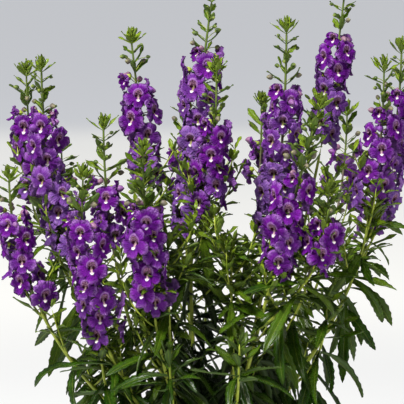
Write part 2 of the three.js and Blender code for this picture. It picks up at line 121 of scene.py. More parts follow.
# Growth of the blooms
BLOOM_REACH = 14.5 * MM
BLOOM_REACH_SCATTER = (-3 * MM, 4 * MM)
BLOOM_LIFT = 5 * MM
BLOOM_FAN = 260
BLOOM_SCATTER = (-4, 4)
BLOOM_NOD = (-24, 12)
BLOOM_SIZES = (0.86, 1.08)
BLOOM_TOP_SIZE = 0.82
BLOOM_GROWTH = 0.05
BLOOM_TRIES = 16
GOLDEN_SHARE = 0.618034
BLOOM_CORNERS = (
    (28, 8, 0.2), (62, 11.2, -1.2), (118, 11.2, -1.2), (152, 8, 0.2), (187, 12.4, -1.6),
    (227, 7.6, 0.6), (251, 10.8, 2.4), (289, 10.8, 2.4), (313, 7.6, 0.6), (353, 12.4, -1.6),
)

# Growth of the bracts and buds
BUD_SPACING = 17 * MM
BUD_TURN = 90
BUD_SCATTER = (-15, 15)
TUFT_LENGTH = 12 * MM

# The furthest that a corner of a solid lies from where the growth puts it, and how many
# points are compared with the corners at once
SAME_POINT = 0.05 * MM
COMPARED = 512

# What the looks add to the growth: racemes nearer the viewer than this have fuller tops,
# stems with higher tips than this have side shoots, and low leaves whose tips stand far out
# from the pot's axis hang more and are shorter
FRONT_ROW = -80 * MM
HIGH_SHOOT = 250 * MM
FAR_OUT = (120 * MM, 180 * MM)
LOW_DOWN = (300 * MM, 250 * MM)
FAR_OUT_HANG = 60
FAR_OUT_CUT = 0.28

# Every blade: how far it sways and its tip curls as shares of its length, its twist from
# foot to tip, and the waves along its edge
BLADE_SWAY = (-0.06, 0.06)
BLADE_CURL = (-0.05, 0.07)
BLADE_TWIST = (-25, 25)
BLADE_WAVES = 1.6

# The corners of a blade's section: across its half width, and below its face as shares of
# the thickness
BLADE_ACROSS = np.array([1, 0.5, 0, -0.5, -1, -0.5, 0, 0.5])
BLADE_BELOW = np.array([0, 0, 0.15, 0, 0, 0.55, 1, 0.55])

# Small leaves round the axils: how they differ from the larger leaf there
YOUNG_PLACES = (-9 * MM, 16 * MM)
YOUNG_SWING = (-100, 100)
YOUNG_ROLL = (-40, 40)
YOUNG_RISE = (-10, 62)
YOUNG_HANG = 78
YOUNG_STEEPEST = -75
YOUNG_TURN = (-60, -6)
YOUNG_TIP_STEEPEST = -85
YOUNG_SIZES = (0.36, 0.98)
YOUNG_OUTWARD_CUT = 0.45
YOUNG_OUTWARD_HEIGHTS = (300 * MM, 200 * MM)
YOUNG_WIDTHS = (0.3, 0.98)
YOUNG_THINNESS = 0.6

# The heights over which the tones of leaves rise
LEAF_BRIGHT = (160 * MM, 300 * MM)
YOUNG_BRIGHT = (170 * MM, 320 * MM)
CROWN_BRIGHT = (190 * MM, 270 * MM)

# There are no small leaves this far from the pot's axis below this height
BARE_REACH = 78 * MM
BARE_HEIGHT = 238 * MM

# The crown of a shoot without blooms: its values go from the lowest leaf to the innermost,
# and its places are lengths below the tip
CROWN_LEAVES = 14
CROWN_TURN = 137.5
CROWN_PLACES = (34 * MM, 1 * MM)
CROWN_LENGTHS = (44 * MM, 17 * MM)
CROWN_WIDTHS = (9.5 * MM, 4.5 * MM)
CROWN_RISE = (5, 67)
CROWN_TONES = (0.2, 0.95)

# The short leafy shoots on the sides of stems: the shares of the leafy length and of the
# blooms' length where they begin and end, and their leaves, from the stem to the tip
SIDE_START = 0.35
SIDE_START_BLOOMLESS = 0.7
SIDE_BLOOM_SHARE = 0.25
SIDE_LENGTHS = (28 * MM, 58 * MM)
SIDE_SWING = (-120, 120)
SIDE_RISE = (30, 60)
SIDE_DROOP = (60, 95)
SIDE_RADII = (1.0 * MM, 0.45 * MM)
SIDE_PAIRS = 5
SIDE_FIRST_PAIR = 0.22
SIDE_LEAF_LENGTHS = (26 * MM, 12 * MM)
SIDE_LEAF_WIDTHS = (7.6 * MM, 4.6 * MM)
SIDE_LEAF_RISE = (10, 55)
SIDE_LEAF_TONES = (0.25, 0.85)

# The bract below each bloom
LOW_BRACT_LENGTHS = (10 * MM, 19 * MM)
LOW_BRACT_WIDTHS = (3.4 * MM, 6.0 * MM)
LOW_BRACT_RISE = (0, 45)
LOW_BRACT_DROOP = (-35, 30)

# The bracts and buds above the blooms, from the raceme's tip down to its blooms
TOP_BRACT_LENGTHS = (12.5 * MM, 17.5 * MM)
TOP_BRACT_WIDTHS = (4.3 * MM, 6.1 * MM)
BUD_RADII = (1.05 * MM, 2.15 * MM)
BUD_REACH = (6 * MM, 13 * MM)
BUD_NOD = (-70, -15)

# Racemes with tips below these heights have up to this much longer bracts
LUSH_HEIGHTS = (450 * MM, 400 * MM)
LUSH_SHARE = 0.18

# The mauve buds just above the blooms, from the youngest to the oldest
LATE_BUDS = 5
LATE_BUD_RADII = (1.9 * MM, 3.0 * MM)
LATE_BUD_REACH = (7 * MM, 10 * MM)

# The rosette of young bracts at a raceme's tip, from its outer whorl to its inner one
ROSETTE_WHORLS = 4
ROSETTE_ARMS = 4
ROSETTE_PLACES = (5.5 * MM, -1.1 * MM)
ROSETTE_LENGTHS = (14.5 * MM, 7.9 * MM)
ROSETTE_WIDTHS = (5.0 * MM, 3.5 * MM)
ROSETTE_RISE = (28, 70)

# Each part draws its numbers with a key of its own: this many for each stem's seed, and
# the first key of each kind of part
KEYS_PER_SEED = 1000
FIRST_KEY = {
    "leaves": 0, "blooms": 0, "bracts": 500, "buds": 700, "rosette": 800, "crown": 850,
    "shoots": 900,
}

# A bloom's face: the notches between its lobes as angle, radius and forward lean, and the
# tip of the lobe that follows each as radius and lean, in millimetres
NOTCHES = ((20, 8.0, 0.2), (90, 11.7, -1.0), (160, 8.0, 0.2), (236, 7.7, 0.6), (304, 7.7, 0.6))
LOBE_TIPS = ((13.5, -1.8), (13.5, -1.8), (13.5, -1.9), (12.1, 2.3), (13.5, -1.9))
LOBE_COLUMNS = 9
PETAL_BEND = (-2.2 * MM, 1.6 * MM)
UPPER_LEAN = 1.6 * MM
THROAT_EDGE = 0.46

# How high a bloom's tone is by this row of its raceme, for tips at each of these places
# from the viewer to the back
FADE_ROWS = 15
FADE = (0.3, 0.8)
FADE_PLACES = (-70 * MM, 0)

# The lip below the throat and the hood above it: the angle and share of the radius where
# each is highest, and how far it spreads in both
LIP_MIDDLE = (270, 0.36)
LIP_SPREAD = (20, 0.1)
HOOD_MIDDLE = (90, 0.46)
HOOD_SPREAD = (46, 0.13)
HOOD_HEIGHT = 1.1 * MM

# The rows of a bloom from its tube round the edge to its throat: share of the edge's radius,
# and how many millimetres each row of the back lies behind the face
BACK_ROWS = ((0.14, 3.4), (0.34, 3.2), (0.5, 1.3), (0.86, 0.4))
FRONT_ROWS = (1.0, 0.87, 0.68, 0.5, 0.36, 0.22, 0.1)
TUBE_DEPTH = 8 * MM

# The width of a bloom's pattern
PATTERN_SPAN = 40 * MM

# Radii of a calyx from its foot to its closed end, and of a stalk below it and below a bud
CALYX_RADII = (1.5 * MM, 2.5 * MM, 2.8 * MM, 3.1 * MM, 1.0 * MM)
CALYX_LENGTH = 4.5 * MM
PEDICEL_RADIUS = 0.42 * MM
BUD_STALK_RADIUS = 0.32 * MM
BRACT_THICKNESS = 0.45 * MM

# The pot
POT_BASE_RADIUS = 54 * MM
POT_TOP_RADIUS = 74 * MM
POT_WALL = 2.2 * MM
POT_FLOOR = 3 * MM
POT_COLUMNS = 180
RIM_DEPTH = 15 * MM
FLUTES = 30
DRAIN_HOLES = 6
DRAIN_RADIUS = 5 * MM
DRAIN_RING = 36 * MM

# The soil, its lumps and its crumbs
SOIL_COLUMNS = 120
SOIL_ROWS = 36
SOIL_GAP = 0.5 * MM
SOIL_MIDDLE = 60 * MM
SOIL_DOME = 3 * MM
DOME_RADIUS = 72 * MM
LUMP_SPAN = 34 * MM
LUMP_WAVES = 8
WHITE_SHARE = 0.3
WHITE_SIZES = (0.8 * MM, 1.8 * MM)
CRUMB_SIZES = (1.2 * MM, 3.4 * MM)

# The floor: half its width, how soon it turns grey, and how its glow dims near the plant
# and falls off far from it
FLOOR_REACH = 60.0
FLOOR_BLEND = 0.14
GLOW_DIM = 0.2
GLOW_RISE = (0.77, 1.5)
GLOW_FALL_START = 1.6
GLOW_FALL = 0.22

# The lamps: size, place and colour of each
LAMPS = {
    "key": (0.6, (-0.8, -1.2, 2.3), (1, 0.99, 0.96)),
    "fill": (1.4, (1.2, -2.0, 0.9), (0.95, 0.97, 1)),
}
SKY_COLOUR = (0.97, 0.98, 1, 1)
SENSOR_WIDTH = 36
FURTHEST_SEEN = 200

# Each raceme, in millimetres: name, tip, length with buds, length with blooms, open blooms,
# and where it forks from another, that one and the share of its length where it does. A
# last pair is where its elbow stands, where that isn't below the tip.
RACEMES = (
    ("left_tall", (-135, -6, 430), 42, 128, 22, None, 0),
    ("left_fork", (-151, 34, 424), 38, 80, 12, "left_tall", 0.36),
    ("far_left", (-159, -52, 342), 30, 84, 13, None, 0),
    ("mid_left_tall", (-61, 34, 452), 38, 98, 14, None, 0, (-38, 30)),
    ("mid_left_short", (-82, -30, 383), 50, 62, 9, None, 0),
    ("front_left", (-95, -100, 349), 38, 112, 19, None, 0, (-106, -104)),
    ("front_mid_left", (-47, -108, 369), 50, 88, 16, None, 0),
    ("centre_tall", (9, 14, 488), 50, 158, 27, None, 0, (-24, 6)),
    ("centre_fork", (12, -44, 431), 50, 76, 14, "centre_tall", 0.38),
    ("mid_right_tall", (71, -4, 462), 54, 124, 22, None, 0),
    ("front_right", (95, -96, 405), 64, 92, 16, None, 0, (48, -96)),
    ("front_right_fork", (102, -92, 335), 30, 44, 8, "front_right", 0.4),
    ("right_tall", (122, 34, 489), 40, 92, 16, None, 0, (98, 28)),
    ("far_right", (170, 20, 444), 42, 126, 20, None, 0),
    ("far_right_fork", (151, -30, 431), 40, 84, 13, "far_right", 0.36),
    ("back_left", (-126, 104, 352), 32, 54, 6, None, 0),
    ("back_mid_left", (-16, 124, 384), 30, 88, 8, None, 0),
    ("back_mid_right", (54, 122, 391), 34, 60, 7, None, 0),
    ("back_right", (130, 106, 384), 34, 60, 6, None, 0),
)

# Each leafy shoot without blooms, in the same form
SHOOTS = (
    ("front_left_shoot", (-26, -112, 206), 0, 0, 0, "front_mid_left", 0.1),
    ("front_right_shoot", (30, -116, 214), 0, 0, 0, "front_right", 0.1),
    ("left_shoot", (-84, -66, 216), 0, 0, 0, "far_left", 0.2),
    ("right_shoot", (104, -52, 238), 0, 0, 0, "far_right", 0.18),
    ("back_shoot", (4, 122, 226), 0, 0, 0, "back_mid_left", 0.12),
    ("centre_left_shoot", (-28, -74, 296), 0, 0, 0, "front_mid_left", 0.16),
    ("centre_right_shoot", (24, -70, 284), 0, 0, 0, "front_right", 0.16),
    ("mid_right_shoot", (92, -40, 290), 0, 0, 0, "mid_right_tall", 0.2),
)

# The channels of a shell's points
XYZ = slice(0, 3)
PLANE = slice(3, 5)
TONE = 5
LAYER = 6


def draw(series, key):
    """The fractional part of a large sine: a repeatable number from 0 to 1."""
    x = np.sin(np.asarray(series) * 127.1 + np.asarray(key) * 311.7) * 43758.5453
    return x - np.floor(x)


def grade(ends, share):
    """The value at a share of the way between two ends."""
    return ends[0] + (ends[1] - ends[0]) * share


def spread(limits, series, key):
    """A repeatable number between two limits."""
    return grade(limits, draw(series, key))


def unit(vectors):
    """Vectors divided by their length."""
    return vectors / np.linalg.norm(vectors, axis=-1, keepdims=True)


def smooth(low, high, value):
    """A smooth step: 0 below low, 1 above high, and 3t^2 - 2t^3 between."""
    t = np.clip((value - low) / (high - low), 0, 1)
    return t * t * (3 - 2 * t)


def facing(azimuth, roll=0.0):
    """Outward, sideways and upward unit vectors at an azimuth, rolled about the first."""
    a, r = np.broadcast_arrays(np.radians(azimuth), np.radians(roll))
    out = np.stack([np.cos(a), np.sin(a), 0 * a], -1)
    level = np.stack([-np.sin(a), np.cos(a), 0 * a], -1)
    r = r[..., None]
    side = level * np.cos(r) + UP * np.sin(r)
    up = UP * np.cos(r) - level * np.sin(r)
    return out, side, up


class Stem:
    """A stem's curve, and the lengths along it where leaves, blooms and buds begin.

    The curve is a quadratic one: (1-t)^2 foot + 2t(1-t) elbow + t^2 tip.
    """

    def __init__(self, index, row, grown):
        name, tip, buds, zone, self.blooms, parent, at, *elbow = row
        self.name = name
        self.seed = 100 + 17 * index
        self.parent = grown.get(parent)
        self.node = "stem_" + (parent or name)
        x, y, z = self.tip = np.array(tip) * MM
        if self.parent:
            self.foot = self.parent.point(at * self.parent.length)[0]
            out, rise = 1, FORK_ELBOW_RISE
        else:
            self.foot = np.array([FOOT_SPREAD * x, FOOT_SPREAD * y, SOIL_TOP - STEM_DEPTH])
            out, rise = ELBOW_SPREAD, ELBOW_RISE
        height = self.foot[2] + rise * (z - self.foot[2])
        self.elbow = np.array([out * x, out * y, height])
        if elbow:
            self.elbow[:2] = np.array(elbow[0]) * MM
        self.shares = np.linspace(0, 1, CURVE_STEPS)
        steps = np.linalg.norm(np.diff(self.curve(self.shares), axis=0), axis=1)
        self.lengths = np.concatenate([[0], np.cumsum(steps)])
        self.length = self.lengths[-1]
        self.bloom_top = self.length - buds * MM
        self.bloom_end = self.bloom_top - zone * MM
        self.pitch = zone * MM / (self.blooms + 0.5)
        knots = [np.linspace(0, self.bloom_end, LEAFY_STEPS + 1)]
        if self.blooms:
            knots.append(np.linspace(self.bloom_end, self.bloom_top, BLOOM_STEPS + 1)[1:])
            knots.append([self.length])
        self.knots = np.concatenate(knots)
        self.leaf_start = LEAF_START + (0 if self.parent else STEM_DEPTH)
        self.leaf_end = self.bloom_end - LEAF_END_GAP
        self.outward = math.degrees(math.atan2(y, x))
        self.faces = math.degrees(math.atan2(1 if y > BACK_ROW else -1, FACE_SPREAD * x))
        self.across = unit(np.cross(self.elbow - self.foot, self.tip - self.elbow))

    def curve(self, t):
        """Points at shares t of the curve's parameter."""
        t = np.atleast_1d(t)[..., None]
        return (1 - t) ** 2 * self.foot + 2 * t * (1 - t) * self.elbow + t**2 * self.tip

    def point(self, along):
        """Points at lengths along the curve."""
        return self.curve(np.interp(along, self.lengths, self.shares))

    def run(self, along):
        """Points on the straight runs between the knots, at lengths along the curve."""
        corners = self.point(self.knots)
        return np.stack([np.interp(along, self.knots, corners[:, i]) for i in range(3)], -1)

    def root(self, along, azimuth):
        """Where a piece is rooted: on the straight run between two knots, a little sunk."""
        return self.run(along) - ROOT_SINK * facing(azimuth)[0]

    def shift(self, along):
        """From the straight run between two knots to the curve, at lengths along it."""
        return self.point(along) - self.run(along)

    def radius(self, along):
        """Radius of the stem at lengths along it."""
        base = FORK_BASE_RADIUS if self.parent else STEM_BASE_RADIUS
        return base + (STEM_TIP_RADIUS - base) * along / self.length

    def keys(self, kind, number):
        """The keys of the numbered parts of a kind."""
        return KEYS_PER_SEED * self.seed + FIRST_KEY[kind] + number


def grow_stems():
    """Every stem by name, each fork after the raceme that it grows from."""
    grown = {}
    rows = list(enumerate(RACEMES + SHOOTS))
    for index, row in sorted(rows, key=lambda item: item[1][5] is not None):
        grown[row[0]] = Stem(index, row, grown)
    return grown


def corners_of(node):
    """The corners of a solid, in metres."""
    mesh = frame["nodes"][node].data
    corners = np.empty(3 * len(mesh.vertices), np.float32)
    mesh.vertices.foreach_get("co", corners)
    return np.unique(corners.reshape(-1, 3).round(6), axis=0)


def kept_try(node, points):
    """Which try of each piece its solid has, from points of shape pieces, tries, corners.

    It is the try with the most corners in the solid. Also says whether that is more than
    one corner, so whether the solid has the piece.
    """
    corners = corners_of(node)
    flat = points.reshape(-1, 3)
    near = np.empty(len(flat), bool)
    for start in range(0, len(flat), COMPARED):
        some = slice(start, start + COMPARED)
        gaps = np.linalg.norm(flat[some, None] - corners, axis=-1)
        near[some] = gaps.min(-1) < SAME_POINT
    score = near.reshape(points.shape[:-1]).sum(-1)
    return score.argmax(-1), score.max(-1) > 1


# Shells and meshes


def channels(xyz, plane, tone, layer):
    """Points with their pattern plane, tone and layer, spread to one shape."""
    shape = xyz.shape[:-1]
    parts = [
        xyz,
        np.broadcast_to(plane, shape + (2,)),
        np.broadcast_to(np.asarray(tone, float)[..., None], shape + (1,)),
        np.broadcast_to(np.asarray(layer, float)[..., None], shape + (1,)),
    ]
    return np.concatenate(parts, -1)


class Batch:
    """The shells of one piece, gathered until they become its mesh."""

    def __init__(self):
        self.points = []
        self.quads = []
        self.fans = []
        self.quad_slots = []
        self.fan_slots = []
        self.count = 0

    def add(self, grid, ends, slot=0):
        """Adds shells: grid is shells, rows, columns, channels and ends is shells, 2, channels.

        Faces look outward where the columns turn anticlockwise about the way from the
        first end to the last.
        """
        shells, rows, columns, size = grid.shape
        body = grid.reshape(shells, rows * columns, size)
        self.points.append(np.concatenate([body, ends], 1).reshape(-1, size))
        j = np.arange(columns)
        k = (j + 1) % columns
        low = np.arange(rows - 1)[:, None] * columns
        quads = np.stack([low + j, low + k, low + columns + k, low + columns + j], -1)
        first = np.stack([0 * j + rows * columns, k, j], -1)
        top = (rows - 1) * columns
        last = np.stack([0 * j + rows * columns + 1, top + j, top + k], -1)
        starts = self.count + np.arange(shells)[:, None, None] * (rows * columns + 2)
        self.quads.append((quads.reshape(1, -1, 4) + starts).reshape(-1, 4))
        self.fans.append((np.concatenate([first, last])[None] + starts).reshape(-1, 3))
        self.quad_slots.append(np.full(len(self.quads[-1]), slot))
        self.fan_slots.append(np.full(len(self.fans[-1]), slot))
        self.count += shells * (rows * columns + 2)

    def add_plain(self, grid, ends):
        """Adds shells whose points have no pattern, tone or layer."""
        self.add(channels(grid, 0.5, 0.0, 0.0), channels(ends, 0.5, 0.0, 0.0))

    def shape(self, name, materials):
        """Makes an object of the shells."""
        points = np.concatenate(self.points)
        quads = np.concatenate(self.quads)
        fans = np.concatenate(self.fans)
        corners = np.concatenate([quads.ravel(), fans.ravel()]).astype(np.int32)
        starts = np.concatenate([
            np.arange(len(quads)) * 4,
            len(quads) * 4 + np.arange(len(fans)) * 3,
        ]).astype(np.int32)
        mesh = bpy.data.meshes.new(name)
        mesh.vertices.add(len(points))
        mesh.vertices.foreach_set("co", points[:, XYZ].astype(np.float32).ravel())
        mesh.loops.add(len(corners))
        mesh.loops.foreach_set("vertex_index", corners)
        mesh.polygons.add(len(starts))
        mesh.polygons.foreach_set("loop_start", starts)
        slots = np.concatenate(self.quad_slots + self.fan_slots).astype(np.int32)
        mesh.polygons.foreach_set("material_index", slots)
        mesh.update(calc_edges=True)
        mesh.shade_smooth()
        layer = mesh.uv_layers.new(name="pattern")
        layer.uv.foreach_set("vector", points[corners, PLANE].astype(np.float32).ravel())
        for title, channel in (("tone", TONE), ("layer", LAYER)):
            values = mesh.attributes.new(title, "FLOAT", "POINT")
            values.data.foreach_set("value", points[:, channel].astype(np.float32))
        for material in materials:
            mesh.materials.append(material)
        if mesh.validate():
            raise RuntimeError(f"{name} has faces that can't be built")
        made = bpy.data.objects.new(name, mesh)
        bpy.context.scene.collection.objects.link(made)
        return made

    def piece(self, name, slot, nodes, materials):
        """Makes a piece that rides on the plant and stands for the named solids."""
        piece = self.shape(name, materials)
        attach(piece, "root")
        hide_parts(*nodes)
        return piece


def tubes(path, side, radii, columns, plane=0.5, tone=0.0, layer=0.0, lobes=0, lobe_depth=0.0):
    """Round shells along paths: centre + radius (cos a side + sin a third).

    path is shells, rows, 3, side is shells, 3 and square to the path, and radii is shells,
    rows. The first and last rows of the path are the ends. Lobes make the section a star.
    """
    tangent = unit(np.gradient(path, axis=1))
    side = np.broadcast_to(side[:, None], path.shape)
    third = np.cross(tangent, side)
    angle = 2 * np.pi * np.arange(columns) / columns
    star = 1 + np.asarray(lobe_depth)[..., None] * np.cos(lobes * angle)
    reach = radii[..., None] * np.broadcast_to(star, radii.shape + (columns,))
    ring = (
        path[:, :, None]
        + (reach * np.cos(angle))[..., None] * side[:, :, None]
        + (reach * np.sin(angle))[..., None] * third[:, :, None]
    )[:, 1:-1]
    tone = np.broadcast_to(tone, path.shape[:2])
    layer = np.broadcast_to(layer, path.shape[:2])
    shape = ring.shape[:-1]
    grid = channels(
        ring,
        plane,
        np.broadcast_to(tone[:, 1:-1, None], shape),
        np.broadcast_to(layer[:, 1:-1, None], shape),
    )
    picked = [0, -1]
    ends = channels(path[:, picked], plane, tone[:, picked], layer[:, picked])
    return grid, ends


def arcs(start, out, up, length, rise, droop, v):
    """Paths whose slope turns evenly from rise to droop, and their normals.

    With slope s, the path is start + out R (sin s - sin s0) + up R (cos s0 - cos s), where
    R is the length over the turn. v holds the shares of the length, for all paths or for
    each.
    """
    first = np.radians(rise)[:, None]
    turn = np.radians(droop - rise)[:, None]
    slope = (first + turn * v)[..., None]
    reach = (length[:, None] / turn)[..., None]
    first = first[..., None]
    out, up = out[:, None], up[:, None]
    path = (
        start[:, None]
        + out * reach * (np.sin(slope) - np.sin(first))
        + up * reach * (np.cos(first) - np.cos(slope))
    )
    return path, up * np.cos(slope) - out * np.sin(slope)


def blades(blade, looks, rows, tone):
    """Leaf blades as closed shells, from dictionaries of arrays.

    A section at share v of the length is, for x from -1 to 1 across it, at the midrib + side
    x half(v) + normal (fold |x|^1.5 half(v) + wave), with a keel of the thickness below it.
    half(v) is width sin(pi v^1.3)^0.7 / 2, less at every other row. The blade sways, twists
    and curls towards its tip.
    """
    count = len(blade["length"])
    v = np.sin(np.linspace(0.04, 0.975, rows) * np.pi / 2) ** 1.15
    out, side, up = facing(blade["azimuth"], blade["roll"])
    path, normal = arcs(
        blade["root"], out, up, blade["length"], blade["rise"], blade["droop"], np.r_[0, v, 1],
    )
    key = blade["key"]
    share = np.r_[0, v, 1]
    side = np.broadcast_to(side[:, None], path.shape)
    sway = spread(BLADE_SWAY, 3, key) * blade["length"]
    curl = spread(BLADE_CURL, 4, key) * blade["length"]
    path = (
        path
        + side * (sway[:, None] * share**2)[..., None]
        + normal * (curl[:, None] * share**4)[..., None]
    )
    twist = np.radians(spread(BLADE_TWIST, 5, key))[:, None] * share
    cos, sin = np.cos(twist)[..., None], np.sin(twist)[..., None]
    side, normal = side * cos + normal * sin, normal * cos - side * sin
    phase = 2 * np.pi * draw(6, key)[:, None]
    tooth = np.arange(rows) % 2
    half = blade["width"][:, None] / 2 * np.sin(np.pi * v**1.3) ** 0.7
    half = half * (1 - looks.tooth_depth * tooth * smooth(0.12, 0.3, v))
    x, below = BLADE_ACROSS, BLADE_BELOW
    rib = blade["thickness"][:, None] * (1 - 0.75 * v)
    wave = looks.leaf_wave * np.sin(2 * np.pi * BLADE_WAVES * v + phase)
    level = (
        looks.leaf_fold * np.abs(x) ** 1.5 * half[..., None]
        + (x * np.abs(x)) * (wave * smooth(0, 0.3, v))[..., None]
        - below * rib[..., None]
    )
    ring = (
        path[:, 1:-1, None]
        + side[:, 1:-1, None] * (x * half[..., None])[..., None]
        + normal[:, 1:-1, None] * level[..., None]
    )
    plane = np.stack(np.broadcast_arrays(0.5 + x / 2, v[:, None]), -1)
    upper = np.broadcast_to((below < 0.3).astype(float), ring.shape[:-1])
    shade = np.broadcast_to(tone[:, None, None], ring.shape[:-1])
    grid = channels(ring, plane, shade, upper)
    ends = channels(
        path[:, [0, -1]],
        np.array([[0.5, 0], [0.5, 1]]),
        np.broadcast_to(tone[:, None], (count, 2)),
        1.0,
    )
    return grid, ends


# Petals


def lobe_edge():
    """The edge of a bloom's face: angle, radius, forward lean, and place across its lobe.

    Each lobe runs between two notches. With u from -1 to 1 across the lobe, its radius is
    that of the line between the notches plus an arch (1 - |u|^2.6)^0.5 up to its tip.
    """
    before = np.array(NOTCHES)
    after = np.roll(before, -1, axis=0)
    after[-1, 0] += 360
    u = -np.cos(np.pi * np.arange(LOBE_COLUMNS) / LOBE_COLUMNS)
    share = (u + 1) / 2
    arch = (1 - np.abs(u) ** 2.6) ** 0.5
    angle, base, lean = (
        start[:, None] + (end - start)[:, None] * share for start, end in zip(before.T, after.T)
    )
    tip_radius, tip_lean = np.array(LOBE_TIPS).T[:, :, None]
    radius = base + (tip_radius - base) * arch
    lean = lean + (tip_lean - lean) * arch
    number = np.broadcast_to(np.arange(len(NOTCHES))[:, None], angle.shape)
    flat = [part.ravel() for part in (angle, radius * MM, lean * MM)]
    return (*flat, np.broadcast_to(u, angle.shape).ravel(), number.ravel())


def swelling(angle, share, middle, size):
    """How high a round swelling is: 1 in its middle, and exp(-x^2 - y^2) round it."""
    across = (angle - middle[0]) / size[0]
    along = (share - middle[1]) / size[1]
    return np.exp(-(across**2) - along**2)


def bloom_shells(bloom, looks):
    """Blooms as closed shells: from the tube, by the back, round the edge, to the throat.

    At angle a and share s of the edge's radius, the face is lean s^1.6 forward, less a
    throat that sinks to its full depth at the middle, plus a lip below the throat and a
    hood above it. With u across a lobe, s^2.5 (sin(2.3 pi u + phase) + 0.7 sin(4.1 u - 9 s
    + 2.3 phase)) ripples it, and |u|^4 s^2 folds it back towards the notches. Each lobe is
    bent and sized by its own draws, the upper ones lean back, and a bloom that is partly
    shut cups forward and is narrower.
    """
    angle, radius, lean, u, lobe = lobe_edge()
    key = bloom["key"]
    s = np.array([row[0] for row in BACK_ROWS] + list(FRONT_ROWS))[:, None]
    behind = np.array([row[1] for row in BACK_ROWS] + [0] * len(FRONT_ROWS))[:, None] * MM
    upright = np.sin(np.radians(angle))
    phase = 2 * np.pi * draw(21, key[:, None] * 5 + lobe)[:, None]
    ripple = looks.petal_wave * s**2.5 * (
        np.sin(2.3 * np.pi * u + phase) + 0.7 * np.sin(4.1 * u - 9 * s + 2.3 * phase)
    )
    bend = spread(PETAL_BEND, 22, key[:, None] * 5 + lobe)[:, None]
    throat = looks.throat_depth * smooth(THROAT_EDGE, 0.0, s)
    fold = -looks.petal_fold * np.abs(u) ** 4 * s**2
    forward = (
        lean * s**1.6
        + ripple
        + bend * s**2 * (1 - u**2)
        + fold
        - throat
        + looks.tooth_height * swelling(angle, s, LIP_MIDDLE, LIP_SPREAD)
        + HOOD_HEIGHT * swelling(angle, s, HOOD_MIDDLE, HOOD_SPREAD)
        - behind
        - UPPER_LEAN * s**2 * np.clip(upright, 0, 1)
    )
    shut = bloom["shut"][:, None, None]
    forward = forward + shut * (6.0 * MM * s**2 - 1.5 * MM * s)
    swell = 1 + 0.07 * np.sin(2 * np.pi * draw(23, key[:, None] * 5 + lobe))[:, None]
    swell = swell + looks.petal_frill * np.sin(7.5 * u + 3 * phase) * (1 - u**2)
    reach = radius * s * (1 + (swell - 1) * s**2) * (1 - 0.4 * shut * s)
    size = bloom["size"][:, None, None]
    x = reach * np.cos(np.radians(angle)) * size
    y = reach * np.sin(np.radians(angle)) * size - shut * 2.0 * MM * s**2
    front, side, top = (bloom[name][:, None, None] for name in ("front", "side", "top"))
    centre = bloom["centre"][:, None, None]
    ring = centre + side * x[..., None] + top * y[..., None] + front * forward[..., None]
    face = np.stack([x / size, y / size], -1) / PATTERN_SPAN + 0.5
    layer = np.array([0.0] * len(BACK_ROWS) + [1.0] * len(FRONT_ROWS))[:, None]
    tone = np.broadcast_to(bloom["tone"][:, None, None], x.shape)
    grid = channels(ring, face, tone, np.broadcast_to(layer, x.shape))
    centre, front = centre[:, 0, 0], front[:, 0, 0]
    foot = centre - front * TUBE_DEPTH
    heart = centre - front * looks.throat_depth
    ends = channels(
        np.stack([foot, heart], 1),
        0.5,
        np.broadcast_to(bloom["tone"][:, None], (len(key), 2)),
        np.array([0.0, 1.0]),
    )
    return grid, ends


def blooms_of(stem):
    """The blooms of a raceme as its solid has them, the first at the top.

    The top ones are partly shut. The lower a bloom, the higher its tone, less so near the
    viewer.
    """
    index = np.arange(stem.blooms)[:, None]
    attempt = np.arange(BLOOM_TRIES)
    key = index * BLOOM_TRIES + attempt
    turn = ((index + 0.5) * GOLDEN_SHARE) % 1
    scatter = spread(BLOOM_SCATTER, stem.seed + 8, key) * (1 + attempt)
    azimuth = stem.faces + BLOOM_FAN * (turn - 0.5) + scatter
    growth = np.minimum(1, BLOOM_TOP_SIZE + BLOOM_GROWTH * index)
    size = growth * spread(BLOOM_SIZES, stem.seed + 9, key)
    nod = np.radians(spread(BLOOM_NOD, stem.seed + 10, key))[..., None]
    along = np.broadcast_to(stem.bloom_top - (index + 0.5) * stem.pitch, key.shape)
    root = stem.root(along, azimuth)
    out, side, _ = facing(azimuth)
    front = out * np.cos(nod) + UP * np.sin(nod)
    top = UP * np.cos(nod) - out * np.sin(nod)
    reach = (BLOOM_REACH + spread(BLOOM_REACH_SCATTER, stem.seed + 11, key)) * size
    centre = root + out * reach[..., None] + UP * BLOOM_LIFT
    corners = np.stack([
        centre
        + side * (size * radius * MM * math.cos(math.radians(angle)))[..., None]
        + top * (size * radius * MM * math.sin(math.radians(angle)))[..., None]
        + front * forward * MM
        for angle, radius, forward in BLOOM_CORNERS
    ], 2)
    kept, found = kept_try("blooms_" + stem.name, corners)
    if found.sum() < stem.blooms - 1:
        raise RuntimeError(f"blooms_{stem.name} doesn't match the growth of its blooms")
    kept, row = kept[found], np.flatnonzero(found)
    picked = {
        "root": root, "azimuth": azimuth, "size": size, "centre": centre, "front": front,
        "side": side, "top": top, "key": stem.keys("blooms", key), "along": along,
    }
    bloom = {name: values[row, kept] for name, values in picked.items()}
    bloom["shut"] = np.clip(0.75 - 0.4 * row, 0.35 * draw(25, bloom["key"]) ** 2, 1)
    fade = grade(FADE, smooth(*FADE_PLACES, stem.tip[1])) * np.clip(row / FADE_ROWS, 0, 1)
    bloom["tone"] = fade + 0.3 * draw(24, bloom["key"])
    return bloom


def is_leafy(root):
    """Whether small leaves grow at each place: near the pot's axis, or high up."""
    x, y, z = root.T
    return (np.hypot(x, y) < BARE_REACH) | (z > BARE_HEIGHT)


